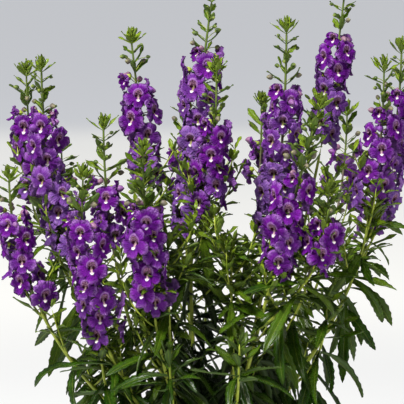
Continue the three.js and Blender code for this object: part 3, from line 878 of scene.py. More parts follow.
def leaves_of(stem):
    """The leaves of a stem as its solid has them, and the first try where it left one out.

    The ones that the solid leaves out grow only where small leaves do. Low leaves whose
    tips stand far out hang more and are shorter than in the solid.
    """
    steps = np.arange(MOST_PAIRS)
    starts = stem.leaf_start + LEAF_STEP * steps + LEAF_STEP_GROWTH * steps**2
    pair = steps[starts < stem.leaf_end][:, None, None]
    half = np.arange(2)[:, None]
    attempt = np.arange(LEAF_TRIES)
    key = (2 * pair + half) * LEAF_TRIES + attempt
    along = np.broadcast_to(starts[pair], key.shape)
    low = 1 - (along - stem.leaf_start) / (stem.leaf_end - stem.leaf_start)
    size = spread(LEAF_SIZES, stem.seed, key) * (1 - LEAF_TAPER * (low - LEAF_PEAK) ** 2)
    swing = np.where(half == 0, 1, -1) * np.array(LEAF_SWINGS)[pair % 2]
    azimuth = stem.outward + swing + spread(LEAF_SCATTER, stem.seed + 1, key)
    rise = spread(LEAF_RISE, stem.seed + 2, key) - LEAF_HANG * low
    rise = np.maximum(LEAF_STEEPEST, rise)
    leaf = {
        "along": along + half * PAIR_STAGGER,
        "azimuth": azimuth,
        "roll": spread(LEAF_SCATTER, stem.seed + 4, key),
        "rise": rise,
        "droop": np.maximum(LEAF_TIP_STEEPEST, rise + spread(LEAF_TURN, stem.seed + 3, key)),
        "length": LEAF_LENGTH * size,
        "width": LEAF_WIDTH * (LEAF_SLIMNESS + (1 - LEAF_SLIMNESS) * size),
        "low": low,
        "key": stem.keys("leaves", key),
    }
    leaf["root"] = stem.root(leaf["along"], azimuth)
    flat = {name: values.reshape(-1, *values.shape[3:]) for name, values in leaf.items()}
    out, side, up = facing(flat["azimuth"], flat["roll"])
    stations = np.array([station for station, _ in LEAF_STATIONS] + [1.0])
    path, _ = arcs(
        flat["root"], out, up, flat["length"], flat["rise"], flat["droop"], stations,
    )
    shares = np.array([share for _, share in LEAF_STATIONS] + [0.0])
    reach = (flat["width"][:, None] / 2 * shares)[..., None] * side[:, None]
    corners = np.concatenate([path - reach, path + reach], 1)
    kept, found = kept_try(stem.node, corners.reshape(-1, LEAF_TRIES, *corners.shape[1:]))
    row = np.arange(len(kept)) * LEAF_TRIES + kept
    row = row[found | is_leafy(flat["root"][row])]
    kept_leaf = {name: values[row] for name, values in flat.items()}
    kept_leaf["root"] = kept_leaf["root"] + stem.shift(kept_leaf["along"])
    kept_leaf["thickness"] = np.full(len(row), LEAF_THICKNESS)
    tip = path[row, -1]
    far_out = smooth(*FAR_OUT, np.hypot(tip[:, 0], tip[:, 1])) * smooth(*LOW_DOWN, tip[:, 2])
    kept_leaf["length"] = kept_leaf["length"] * (1 - FAR_OUT_CUT * far_out)
    kept_leaf["droop"] = np.maximum(
        LEAF_TIP_STEEPEST, kept_leaf["droop"] - FAR_OUT_HANG * far_out,
    )
    return kept_leaf


def young_leaves(stem, leaf, per_leaf):
    """Smaller leaves round each axil, where small leaves grow.

    Low ones hang, and are shorter if they face outwards.
    """
    young = {name: np.repeat(values, per_leaf, axis=0) for name, values in leaf.items()}
    number = np.tile(np.arange(per_leaf), len(leaf["length"]))
    key = young["key"] * per_leaf + number
    young["key"] = key
    young["along"] = np.clip(
        young["along"] + spread(YOUNG_PLACES, 36, key), stem.leaf_start, stem.leaf_end,
    )
    young["azimuth"] = young["azimuth"] + spread(YOUNG_SWING, 31, key)
    young["roll"] = spread(YOUNG_ROLL, 32, key)
    rise = spread(YOUNG_RISE, 33, key) - YOUNG_HANG * young["low"]
    young["rise"] = np.maximum(rise, YOUNG_STEEPEST)
    droop = young["rise"] + spread(YOUNG_TURN, 34, key)
    young["droop"] = np.maximum(droop, YOUNG_TIP_STEEPEST)
    young["root"] = stem.root(young["along"], young["azimuth"]) + stem.shift(young["along"])
    out, _, _ = facing(young["azimuth"])
    away = unit(young["root"] * np.array([1, 1, 0]))
    outwards = np.clip((out * away).sum(-1), 0, 1)
    outwards = outwards * smooth(*YOUNG_OUTWARD_HEIGHTS, young["root"][:, 2])
    size = spread(YOUNG_SIZES, 35, key) * (1 - YOUNG_OUTWARD_CUT * outwards)
    young["length"] = young["length"] * size
    young["width"] = young["width"] * grade(YOUNG_WIDTHS, size)
    young["thickness"] = young["thickness"] * YOUNG_THINNESS
    kept = is_leafy(young["root"])
    return {name: values[kept] for name, values in young.items()}


def crown_leaves(stem):
    """The leaves round the tip of a shoot without blooms, shorter and steeper further in.

    Also gives the tone of each, younger further in.
    """
    number = np.arange(CROWN_LEAVES)
    key = stem.keys("crown", number)
    share = number / (CROWN_LEAVES - 1)
    rise = grade(CROWN_RISE, share) + spread((-10, 10), 112, key)
    crown = bract_set(
        stem.point(stem.length - grade(CROWN_PLACES, share)),
        stem.outward + CROWN_TURN * number,
        grade(CROWN_LENGTHS, share) * spread((0.85, 1.15), 113, key),
        grade(CROWN_WIDTHS, share),
        rise,
        rise + spread((-30, 12), 114, key),
        key,
    )
    return crown, grade(CROWN_TONES, share) * smooth(*CROWN_BRIGHT, stem.tip[2])


# Materials


class Socket:
    """An output socket of a node tree. Arithmetic on it adds Math nodes."""

    def __init__(self, tree, socket):
        self.tree = tree
        self.socket = socket

    def node(self, kind, settings=None, output=0, **inputs):
        """Adds a node of any kind to the same tree and gives one of its outputs.

        Settings are set first, and inputs are values or sockets by the input's name, or by
        its number after in_.
        """
        made = self.tree.nodes.new(kind)
        for name, value in (settings or {}).items():
            if name == "stops":
                ramp = made.color_ramp
                for place, _ in value[2:]:
                    ramp.elements.new(place)
                for element, (place, colour) in zip(ramp.elements, sorted(value)):
                    element.position = place
                    element.color = (*colour, 1)
            else:
                setattr(made, name, value)
        for name, value in inputs.items():
            if value is None:
                continue
            index = int(name[3:]) if name.startswith("in_") else name
            if isinstance(value, Socket):
                self.tree.links.new(value.socket, made.inputs[index])
            else:
                target = made.inputs[index]
                is_colour = target.type == "RGBA" and len(value) == 3
                target.default_value = (*value, 1) if is_colour else value
        return Socket(self.tree, made.outputs[output])

    def math(self, operation, *values):
        """Adds a Math node on up to three values."""
        inputs = {f"in_{i}": value for i, value in enumerate(values)}
        return self.node("ShaderNodeMath", {"operation": operation}, **inputs)

    def __add__(self, other):
        return self.math("ADD", self, other)

    def __radd__(self, other):
        return self.math("ADD", other, self)

    def __sub__(self, other):
        return self.math("SUBTRACT", self, other)

    def __rsub__(self, other):
        return self.math("SUBTRACT", other, self)

    def __mul__(self, other):
        return self.math("MULTIPLY", self, other)

    def __rmul__(self, other):
        return self.math("MULTIPLY", other, self)

    def __truediv__(self, other):
        return self.math("DIVIDE", self, other)

    def __rtruediv__(self, other):
        return self.math("DIVIDE", other, self)

    def __pow__(self, other):
        return self.math("POWER", self, other)

    def __abs__(self):
        return self.math("ABSOLUTE", self)

    def step(self, low, high):
        """A smooth step of the value from 0 at low to 1 at high."""
        return self.node(
            "ShaderNodeMapRange", {"interpolation_type": "SMOOTHSTEP"},
            Value=self, in_1=low, in_2=high,
        )

    def mix(self, first, second):
        """A colour mixed from two by this value."""
        return self.node(
            "ShaderNodeMix", {"data_type": "RGBA"}, 2, in_0=self, in_6=first, in_7=second,
        )

    def noise(self, scale, detail=2.0, roughness=0.5, stretch=None):
        """Fractal noise at this vector, stretched along its axes where that is given."""
        vector = self
        if stretch:
            vector = self.node(
                "ShaderNodeVectorMath", {"operation": "MULTIPLY"}, in_0=self, in_1=stretch,
            )
        return self.node(
            "ShaderNodeTexNoise", None, 0,
            Vector=vector, Scale=scale, Detail=detail, Roughness=roughness,
        )


class Surface:
    """A material with one Principled shader, and the coordinates that its patterns read."""

    def __init__(self, name):
        self.material = bpy.data.materials.new(name)
        self.material.use_nodes = True
        tree = self.material.node_tree
        self.tree = tree
        self.shader = tree.nodes["Principled BSDF"]
        start = Socket(tree, self.shader.outputs[0])
        self.place = start.node("ShaderNodeTexCoord", None, "Object")
        plane = start.node("ShaderNodeUVMap", {"uv_map": "pattern"})
        self.u = plane.node("ShaderNodeSeparateXYZ", None, "X", Vector=plane)
        self.v = plane.node("ShaderNodeSeparateXYZ", None, "Y", Vector=plane)
        self.tone = start.node("ShaderNodeAttribute", {"attribute_name": "tone"}, "Fac")
        self.layer = start.node("ShaderNodeAttribute", {"attribute_name": "layer"}, "Fac")
        self.east, self.north, self.height = (
            self.place.node("ShaderNodeSeparateXYZ", None, name, Vector=self.place)
            for name in "XYZ"
        )

    def finish(self, colour, roughness, bump=None, bump_depth=0.0, glow=None, **constants):
        """Links the varying inputs, sets the rest on the shader's own sockets."""
        inputs = {"Base Color": colour, "Roughness": roughness}
        if glow is not None:
            inputs["Emission Color"] = glow
        for name, value in inputs.items():
            if isinstance(value, Socket):
                self.tree.links.new(value.socket, self.shader.inputs[name])
            else:
                self.shader.inputs[name].default_value = value
        if bump is not None:
            normal = bump.node(
                "ShaderNodeBump", None, 0, Height=bump, Distance=bump_depth, Strength=1.0,
            )
            self.tree.links.new(normal.socket, self.shader.inputs["Normal"])
        for name, value in constants.items():
            self.shader.inputs[name.replace("_", " ")].default_value = value
        return self.material


def petal_material(looks):
    """Violet petals: lilac arch over a mottled hood, maroon pouches and a white tooth.

    Painted shadow darkens the notches between the lobes, along radii at their angles.
    """
    surface = Surface("violet_petal")
    x = (surface.u - 0.5) * (PATTERN_SPAN / MM)
    y = (surface.v - 0.5) * (PATTERN_SPAN / MM)
    place = surface.place
    radius = (x * x + y * y) ** 0.5
    angle = x.math("ARCTAN2", y, x)
    cloud = place.noise(95, 2)
    vein = (angle * 30 + place.noise(240, 2) * 8).math("SINE", angle * 30 + cloud * 20)
    vein = vein * 0.5 + 0.5
    fine = place.noise(1000, 2)
    front = surface.layer.step(0.55, 0.8)
    colour = cloud.step(0.34, 0.66).mix(looks.violet_deep, looks.violet)
    colour = (surface.tone.step(0.25, 0.9) * 0.85).mix(colour, looks.violet_blue)
    colour = (vein * fine.step(0.35, 0.65) * 0.5).mix(colour, looks.violet_deep)
    # Pale lilac towards the edges: partly the petals' own paler rims, partly a painted highlight
    colour = (radius.step(8.5, 12.8) * fine.step(0.3, 0.65) * 0.6).mix(colour, looks.lilac)
    # Painted shade: darker violet round the sunken throat, where shade falls
    colour = ((1 - radius.step(4.0, 8.0)) * front * 0.4).mix(colour, looks.violet_deep)
    # Painted shadow: darker lines along the notches, where one lobe shades the next
    creases = 0
    for notch, _, _ in NOTCHES:
        half = angle * 0.5 - math.radians(notch / 2)
        creases = creases + (1 - abs(half.math("SINE", half)).step(0.01, 0.08))
    colour = (creases * radius.step(3.5, 7.5) * 0.6).mix(colour, looks.violet_deep)
    mottle = place.noise(1300, 2)
    hood = 1 - ((x / 3.5) ** 2 + ((y - 2.0) / 3.9) ** 2).step(0.6, 1.1)
    hood_colour = mottle.step(0.42, 0.6).mix(looks.hood, looks.speckle)
    colour = (hood * front).mix(colour, hood_colour)
    arch = ((x / 4.1) ** 2 + ((y - 2.0) / 4.6) ** 2) ** 0.5 - 1
    arch = (1 - abs(arch).step(0.0, 0.26)) * y.step(-2.0, 3.0)
    colour = (arch * front * (0.3 + 0.4 * fine)).mix(colour, looks.arch)
    pouch = 1 - (((abs(x) - 1.7) / 1.25) ** 2 + ((y - 0.1) / 1.7) ** 2).step(0.45, 1.2)
    colour = (pouch * front).mix(colour, looks.pouch)
    column = (1 - abs(x).step(0.4, 1.2)) * y.step(-4.4, -3.6) * (1 - y.step(-1.6, 2.0))
    column_colour = (surface.tone.step(0.4, 0.55)).mix(looks.column, looks.gold)
    colour = (column * front * 0.85).mix(colour, column_colour)
    tooth = (1 - (abs(x) - (y + 5.0) * 0.6).step(0.3, 1.3)) * (1 - y.step(-3.9, -2.9))
    tooth = tooth * y.step(-5.4, -4.7)
    colour = (tooth * front).mix(colour, looks.tooth)
    colour = ((1 - front) * 0.3).mix(colour, looks.lilac)
    crumple = place.noise(330, 2)
    return surface.finish(
        colour, 0.6 + 0.2 * fine, crumple * 4 + vein * 0.5 + fine, 0.00045,
        Subsurface_Weight=0.15, Subsurface_Radius=(0.003, 0.001, 0.004), Subsurface_Scale=0.5,
        Specular_IOR_Level=0.1,
    )


def leaf_material(looks):
    """Satin leaves: dark glossy top with a pale midrib and veins, and a matt underside.

    Low ones carry painted shade, deepest near the pot's axis.
    """
    surface = Surface("green_leaf")
    place = surface.place
    across = abs(surface.u - 0.5) * 2
    upper = surface.layer.step(0.75, 0.97)
    cloud = place.noise(120, 3)
    veins = (across * 3.2 - surface.v * 13).math("SINE", (across * 3.2 - surface.v * 13) * 6.28)
    veins = veins.step(0.72, 1.0) * (1 - across.step(0.75, 1.0))
    rib = 1 - across.step(0.03, 0.14)
    colour = cloud.step(0.3, 0.7).mix(looks.leaf_dark, looks.leaf)
    # Painted shade: leaves are darkened towards the bottom of the plant, where the foliage shades
    # them
    low_painted_shade = 1 - surface.height.step(0.13, 0.3)
    inner = 1 - ((surface.east * surface.east + surface.north * surface.north) ** 0.5).step(
        0.03, 0.12,
    )
    colour = (low_painted_shade * 0.8).mix(colour, looks.leaf_dark)
    colour = surface.tone.mix(colour, looks.leaf_young)
    colour = (veins * 0.12).mix(colour, looks.leaf_rib)
    colour = (rib * 0.3).mix(colour, looks.leaf_rib)
    under = (rib * 0.6).mix(looks.leaf_under, looks.leaf_rib)
    under = (surface.tone * 0.5).mix(under, looks.leaf_young)
    colour = upper.mix(under, colour)
    # Painted shade: low leaves near the pot's axis turn nearly black, as in the dense heart of the
    # bush
    shade = inner * (1 - surface.height.step(0.2, 0.36))
    colour = (shade * 0.9).mix(colour, looks.leaf_deep)
    fine = place.noise(1100, 2)
    return surface.finish(
        colour, 0.56 - 0.34 * upper + 0.1 * fine, veins * -0.6 + rib * -1.0 + fine * 0.35,
        0.00022,
        Specular_IOR_Level=0.3, Subsurface_Weight=0.08, Subsurface_Scale=0.4,
        Subsurface_Radius=(0.002, 0.004, 0.001),
    )


def stalk_material(looks):
    """Stalks, calyces and buds: green that turns to mauve and violet with the tone."""
    surface = Surface("green_stalk")
    place = surface.place
    cloud = place.noise(160, 2)
    colour = cloud.step(0.3, 0.7).mix(looks.stalk, looks.stalk_light)
    colour = surface.layer.mix(colour, looks.bud)
    colour = surface.tone.step(0.1, 0.5).mix(colour, looks.mauve)
    colour = surface.tone.step(0.55, 1.0).mix(colour, looks.violet)
    ridges = place.noise(700, 2, 0.5, (1, 1, 0.08))
    return surface.finish(
        colour, 0.45 + 0.2 * cloud, ridges, 0.0003,
        Subsurface_Weight=0.1, Subsurface_Scale=0.4, Subsurface_Radius=(0.002, 0.003, 0.001),
    )


def pot_material(looks):
    """Near-black moulded plastic with a fine grain and a little dust near its foot."""
    surface = Surface("pot_plastic")
    place = surface.place
    scuff = place.noise(60, 4, 0.6, (1, 1, 0.3)).step(0.55, 0.78)
    dust = (1 - surface.height.step(0.0, 0.05)) * place.noise(35, 3).step(0.4, 0.7)
    colour = (scuff * 0.3).mix(looks.plastic, looks.plastic_worn)
    colour = (dust * 0.35).mix(colour, looks.soil_light)
    grain = place.noise(2600, 2)
    return surface.finish(
        colour, 0.42 + 0.18 * scuff + 0.2 * dust, grain, 0.00008, Specular_IOR_Level=0.4,
    )


def soil_material(looks):
    """Damp peat with paler crumbs, and white grains where the tone is high."""
    surface = Surface("peat_soil")
    place = surface.place
    crumb = place.noise(420, 5, 0.65)
    colour = crumb.step(0.35, 0.7).mix(looks.soil, looks.soil_light)
    colour = surface.tone.step(0.6, 0.8).mix(colour, looks.grit)
    return surface.finish(colour, 0.8 + 0.15 * crumb, crumb + place.noise(1800, 3), 0.0009)


def floor_material(looks):
    """Pale studio floor, softly lit from within, that turns grey-blue far from the plant.

    Its glow is dim by the plant, and falls off a little towards the turn.
    """
    surface = Surface("studio_floor")
    distance = surface.place.node(
        "ShaderNodeVectorMath", {"operation": "LENGTH"}, "Value", in_0=surface.place,
    )
    turn = looks.floor_turn
    far = distance.step(turn * (1 - FLOOR_BLEND), turn * (1 + FLOOR_BLEND))
    colour = far.mix(looks.floor_near, looks.floor_far)
    near = 1 - distance.step(GLOW_FALL_START, turn) * GLOW_FALL
    near = near * (GLOW_DIM + distance.step(*GLOW_RISE) * (1 - GLOW_DIM))
    return surface.finish(
        colour, 0.9, glow=(near * far.step(1.0, 0.0)).mix(looks.glow_far, looks.glow_near),
        Emission_Strength=1.0, Specular_IOR_Level=0.1,
    )


# Settings


def colour_setting(name, description, value):
    """A colour that a user can change."""
    return bpy.props.FloatVectorProperty(
        name=name, description=description, default=value, subtype="COLOR", size=3,
        min=0.0, max=1.0,
    )


def length_setting(name, description, value):
    """A length that a user can change."""
    return bpy.props.FloatProperty(
        name=name, description=description, default=value, subtype="DISTANCE",
        unit="LENGTH", min=0.0, precision=5,
    )


class PetalLooks(bpy.types.PropertyGroup):
    """Sizes and colours of the blooms."""

    petal_wave: length_setting("Petal wave", "Height of the ripple at a petal's edge", 1.05 * MM)
    petal_frill: bpy.props.FloatProperty(
        name="Petal frill", description="Unevenness of a petal's outline, as a share",
        default=0.028, min=0.0, max=0.3, subtype="FACTOR",
    )
    petal_fold: length_setting("Petal fold", "Depth of the creases between petals", 2.0 * MM)
    throat_depth: length_setting("Throat depth", "How far the throat is sunk", 3.0 * MM)
    tooth_height: length_setting("Tooth height", "Height of the white tooth", 1.7 * MM)
    violet: colour_setting("Violet", "Main colour of the petals", (0.152, 0.007, 0.264))
    # Darker violet of the cloud and veins, also used as painted shade round the throat and along
    # the notches
    violet_deep: colour_setting("Deep violet", "Darker cloud and veins", (0.069, 0.002, 0.136))
    violet_blue: colour_setting("Blue violet", "Colour of older petals", (0.195, 0.092, 0.345))
    # Paler lilac of the backs and rims, also used as a painted highlight at the petal edges
    lilac: colour_setting("Lilac", "Pale edges and backs", (0.42, 0.22, 0.56))
    arch: colour_setting("Arch", "Pale arch over the throat", (0.5, 0.28, 0.57))
    hood: colour_setting("Hood", "Lighter parts of the hood", (0.37, 0.19, 0.29))
    speckle: colour_setting("Speckle", "Darker parts of the hood", (0.095, 0.022, 0.075))
    pouch: colour_setting("Pouch", "Two dark hollows of the throat", (0.035, 0.002, 0.016))
    column: colour_setting("Column", "Pale column between the hollows", (0.62, 0.42, 0.42))
    gold: colour_setting("Gold", "Column of some blooms", (0.4, 0.37, 0.08))
    tooth: colour_setting("Tooth", "White tooth on the lower lip", (0.93, 0.88, 0.86))


class FoliageLooks(bpy.types.PropertyGroup):
    """Sizes and colours of leaves, stalks and buds."""

    leaf_rows: bpy.props.IntProperty(
        name="Leaf rows", description="Rows along a leaf, with a tooth at every other one",
        default=20, min=6,
    )
    tooth_depth: bpy.props.FloatProperty(
        name="Tooth depth", description="Depth of a tooth as a share of the leaf's half width",
        default=0.19, min=0.0, max=0.5, subtype="FACTOR",
    )
    leaf_fold: bpy.props.FloatProperty(
        name="Leaf fold", description="How far the sides rise, as a share of the half width",
        default=0.32, min=0.0, max=1.0, subtype="FACTOR",
    )
    leaf_wave: length_setting("Leaf wave", "Height of the wave along a leaf's edge", 0.7 * MM)
    young_count: bpy.props.IntProperty(
        name="Young leaves", description="Smaller leaves in each axil", default=3, min=0,
    )
    side_shoots: bpy.props.IntProperty(
        name="Side shoots", description="Short leafy shoots on each tall stem", default=6,
        min=0,
    )
    leaf: colour_setting("Leaf", "Main green of the leaves", (0.05, 0.118, 0.003))
    # Darker cloud of the leaves, also used as painted shade on low leaves
    leaf_dark: colour_setting("Dark leaf", "Darker cloud", (0.007, 0.029, 0.0008))
    # Painted shade for low leaves near the pot's axis
    leaf_deep: colour_setting("Deep leaf", "Leaves near the foot", (0.004, 0.012, 0.0005))
    leaf_young: colour_setting("Young leaf", "Green of the young leaves", (0.24, 0.345, 0.016))
    leaf_rib: colour_setting("Rib", "Midrib and veins", (0.2, 0.27, 0.03))
    leaf_under: colour_setting("Underside", "Underside of the leaves", (0.052, 0.092, 0.02))
    stalk: colour_setting("Stalk", "Main green of the stalks", (0.25, 0.33, 0.02))
    stalk_light: colour_setting("Light stalk", "Lighter cloud", (0.44, 0.5, 0.06))
    bud: colour_setting("Bud", "Green buds", (0.045, 0.085, 0.012))
    mauve: colour_setting("Mauve", "Buds about to open", (0.3, 0.14, 0.24))
    violet: colour_setting("Violet bud", "Buds that open", (0.16, 0.025, 0.3))


class PotLooks(bpy.types.PropertyGroup):
    """Sizes and colours of the pot and its soil."""

    flute_depth: length_setting("Flute depth", "Depth of the flutes in the wall", 0.5 * MM)
    lump_height: length_setting("Lump height", "Height of the lumps of the soil", 2.2 * MM)
    crumbs: bpy.props.IntProperty(
        name="Crumbs", description="Loose crumbs and grains on the soil", default=420, min=0,
    )
    plastic: colour_setting("Plastic", "Colour of the pot", (0.016, 0.017, 0.016))
    plastic_worn: colour_setting("Worn plastic", "Scuffs on the pot", (0.055, 0.056, 0.054))
    soil: colour_setting("Soil", "Damp peat", (0.022, 0.012, 0.007))
    soil_light: colour_setting("Dry soil", "Drier crumbs", (0.09, 0.052, 0.028))
    grit: colour_setting("Grit", "White grains", (0.72, 0.7, 0.66))


class StageLooks(bpy.types.PropertyGroup):
    """Camera, lights and floor."""

    camera_distance: length_setting("Camera distance", "From the target", 1.8)
    camera_height: length_setting("Target height", "Height of the camera's target", 313.7 * MM)
    half_view: length_setting("Half view", "Half of the width in view at the target", 171.7 * MM)
    camera_elevation: bpy.props.FloatProperty(
        name="Camera elevation", description="Angle of the camera above the horizon",
        default=math.radians(7), subtype="ANGLE", unit="ROTATION",
    )
    sky: bpy.props.FloatProperty(
        name="Sky", description="Strength of the light from all round", default=0.16, min=0,
    )
    key: bpy.props.FloatProperty(
        name="Key light", description="Power of the large light above", default=108,
        min=0, unit="POWER",
    )
    fill: bpy.props.FloatProperty(
        name="Fill light", description="Power of the light beside the camera", default=7,
        min=0, unit="POWER",
    )
    floor_turn: length_setting("Floor turn", "Where the floor turns grey", 4.2)
    floor_near: colour_setting("Near floor", "Floor by the plant", (0.43, 0.427, 0.411))
    floor_far: colour_setting("Far floor", "Floor far off", (0.5, 0.515, 0.54))
    glow_near: colour_setting("Near glow", "Light from the near floor", (0.695, 0.694, 0.678))
    glow_far: colour_setting("Far glow", "Light from the far floor", (0.46, 0.47, 0.495))


# Pot and soil


def turned(profile, columns, flute_depth=0.0):
    """A shell turned about the pot's axis: radius (cos a, sin a) at each height.

    The first and last points of the profile lie on the axis. Flutes are shallow grooves
    where the third number of a point is above 0.
    """
    profile = np.array([(*point, 0) if len(point) == 2 else point for point in profile])
    angle = 2 * np.pi * np.arange(columns) / columns
    groove = 0.5 - 0.5 * np.cos(FLUTES * angle)
    radius = profile[1:-1, :1] - flute_depth * profile[1:-1, 2:] * groove
    height = np.broadcast_to(profile[1:-1, 1:2], radius.shape)
    ring = np.stack([radius * np.cos(angle), radius * np.sin(angle), height], -1)
    ends = np.array([[0, 0, profile[0, 1]], [0, 0, profile[-1, 1]]])
    return ring[None], ends[None]


def pot_profile():
    """The pot's outline from the middle of its underside, over the rim, to its floor.

    Its flutes fade out towards the foot and the rim.
    """
    rim, _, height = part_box("pot")[1]
    base, top, wall, floor = POT_BASE_RADIUS, POT_TOP_RADIUS, POT_WALL, POT_FLOOR
    band = height - RIM_DEPTH
    slope = (top - base) / height
    outer = [(0, 0), (base * 0.5, 0), (base - 1.2 * MM, 0), (base - 0.2 * MM, 0.5 * MM)]
    for step in np.linspace(1.4 * MM, band - 1.5 * MM, 16):
        flute = float(smooth(12 * MM, 18 * MM, step) * smooth(band - 4 * MM, band - 12 * MM, step))
        outer.append((base + slope * step, step, flute))
    lip = [
        (base + slope * band, band),
        (rim - 1.9 * MM, band + 0.2 * MM),
        (rim - 0.9 * MM, band + 0.8 * MM),
        (rim - 0.7 * MM, band + 2 * MM),
        (rim - 0.5 * MM, band + 5 * MM),
        (rim - 0.9 * MM, band + 5.6 * MM),
        (rim - 0.9 * MM, band + 6.6 * MM),
        (rim - 0.4 * MM, band + 7.2 * MM),
        (rim - 0.1 * MM, height - 2.2 * MM),
        (rim, height - 1.1 * MM),
        (rim - 0.5 * MM, height - 0.3 * MM),
        (rim - 1.4 * MM, height),
        (top - wall + 0.8 * MM, height),
        (top - wall, height - 0.8 * MM),
    ]
    inner = [
        (base + slope * step - wall, step)
        for step in np.linspace(height - 6 * MM, floor + 1 * MM, 8)
    ]
    return outer + lip + inner + [(base - wall - 1.4 * MM, floor), (base * 0.5, floor), (0, floor)]


def soil_height(x, y, looks):
    """Height of the soil: a low dome with lumps, as a sum of turned sine waves."""
    radius = np.hypot(x, y)
    dome = SOIL_TOP + SOIL_DOME * (1 - (radius / DOME_RADIUS) ** 2)
    lumps = 0
    for step in range(1, LUMP_WAVES + 1):
        turn = 2.4 * step
        wave = 2 * np.pi * step / LUMP_SPAN
        lumps = lumps + np.sin(wave * (x * math.cos(turn) + y * math.sin(turn)) + turn) / step
    return dome + 0.35 * looks.lump_height * lumps * smooth(1, 0.8, radius / (70 * MM))


class ANGELONIA_OT_pot(bpy.types.Operator):
    """Build the pot with its fluted wall, rolled rim and drain holes"""

    bl_idname = "angelonia.pot"
    bl_label = "Pot"

    def execute(self, context):
        looks = context.scene.angelonia_pot
        batch = Batch()
        batch.add_plain(*turned(pot_profile(), POT_COLUMNS, looks.flute_depth))
        pot = batch.piece("pot_shell", "pot", ["pot"], [pot_material(looks)])
        cutter = Batch()
        angle = 2 * np.pi * np.arange(DRAIN_HOLES) / DRAIN_HOLES
        foot = DRAIN_RING * np.stack([np.cos(angle), np.sin(angle), 0 * angle], -1)
        levels = np.array([-4, -3, POT_FLOOR / MM + 3, POT_FLOOR / MM + 4]) * MM
        path = foot[:, None] + UP * levels[:, None]
        radii = np.full((DRAIN_HOLES, 4), DRAIN_RADIUS)
        side = np.tile([1.0, 0.0, 0.0], (DRAIN_HOLES, 1))
        cutter.add(*tubes(path, side, radii, 20))
        rods = cutter.shape("drain_rods", [])
        cut = pot.modifiers.new("drain", "BOOLEAN")
        cut.object = rods
        cut.solver = "EXACT"
        uncut = len(pot.data.polygons)
        graph = context.evaluated_depsgraph_get()
        mesh = bpy.data.meshes.new_from_object(pot.evaluated_get(graph))
        pot.modifiers.clear()
        pot.data = mesh
        bpy.data.objects.remove(rods)
        mesh.set_sharp_from_angle(angle=math.radians(35))
        if len(mesh.polygons) <= uncut:
            raise RuntimeError("the drain holes could not be cut")
        return {"FINISHED"}


class ANGELONIA_OT_soil(bpy.types.Operator):
    """Build the lumpy soil with its loose crumbs and white grains"""

    bl_idname = "angelonia.soil"
    bl_label = "Soil"

    def execute(self, context):
        looks = context.scene.angelonia_pot
        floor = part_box("soil")[0].z
        slope = (POT_TOP_RADIUS - POT_BASE_RADIUS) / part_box("pot")[1].z
        inner = POT_BASE_RADIUS - POT_WALL - SOIL_GAP
        wall = np.array([floor, floor + 1 * MM, SOIL_MIDDLE, SOIL_TOP - 4 * MM])
        angle = 2 * np.pi * np.arange(SOIL_COLUMNS) / SOIL_COLUMNS
        wall_radius = (inner + slope * wall)[:, None] + 0 * angle
        edge = inner + slope * SOIL_TOP
        top_radius = edge * np.linspace(1, 0.03, SOIL_ROWS)[:, None] + 0 * angle
        radius = np.concatenate([wall_radius, top_radius])
        x, y = radius * np.cos(angle), radius * np.sin(angle)
        height = soil_height(x, y, looks)
        height[:len(wall)] = wall[:, None]
        grid = np.stack([x, y, height], -1)[None]
        ends = np.array([[[0, 0, floor], [0, 0, float(soil_height(0, 0, looks))]]])
        batch = Batch()
        batch.add_plain(grid, ends)
        key = np.arange(looks.crumbs)
        reach = (edge - 4 * MM) * np.sqrt(draw(41, key))
        turn = 2 * np.pi * draw(42, key)
        x, y = reach * np.cos(turn), reach * np.sin(turn)
        white = draw(43, key) < WHITE_SHARE
        size = np.where(white, spread(WHITE_SIZES, 44, key), spread(CRUMB_SIZES, 44, key))
        centre = np.stack([x, y, soil_height(x, y, looks) + 0.3 * size], -1)
        lean = unit(np.stack([draw(s, key) - 0.5 for s in (45, 46, 47)], -1))
        side = unit(np.cross(lean, UP + 0.1))
        steps = np.array([-1, -0.8, -0.3, 0.35, 0.8, 1.0])
        path = centre[:, None] + lean[:, None] * (steps * 1.3)[:, None] * size[:, None, None]
        radii = size[:, None] * np.sqrt(1.02 - steps**2) * spread((0.5, 0.95), 48, key)[:, None]
        tone = np.where(white, 1.0, 0.0)[:, None]
        batch.add(*tubes(path, side, radii, 6, tone=tone))
        batch.piece("soil_fill", "soil", ["soil"], [soil_material(looks)])
        return {"FINISHED"}


# Blooms, racemes and leafy stems


class ANGELONIA_OT_blooms(bpy.types.Operator):
    """Build the open blooms of every raceme"""

    bl_idname = "angelonia.blooms"
    bl_label = "Blooms"

    def execute(self, context):
        looks = context.scene.angelonia_petals
        material = petal_material(looks)
        for stem in grow_stems().values():
            if not stem.blooms:
                continue
            batch = Batch()
            batch.add(*bloom_shells(blooms_of(stem), looks))
            batch.piece("petals_" + stem.name, "petals", ["blooms_" + stem.name], [material])
        return {"FINISHED"}


def stem_tube(stem, low, high, rows, tone, layer=0.0):
    """The stem between two lengths along it, slightly square in section."""
    along = np.linspace(low, high, rows)
    radii = stem.radius(along)[None]
    return tubes(
        stem.point(along)[None], stem.across[None], radii, 8,
        tone=tone(along)[None], layer=layer, lobes=4, lobe_depth=np.full((1, rows), 0.08),
    )


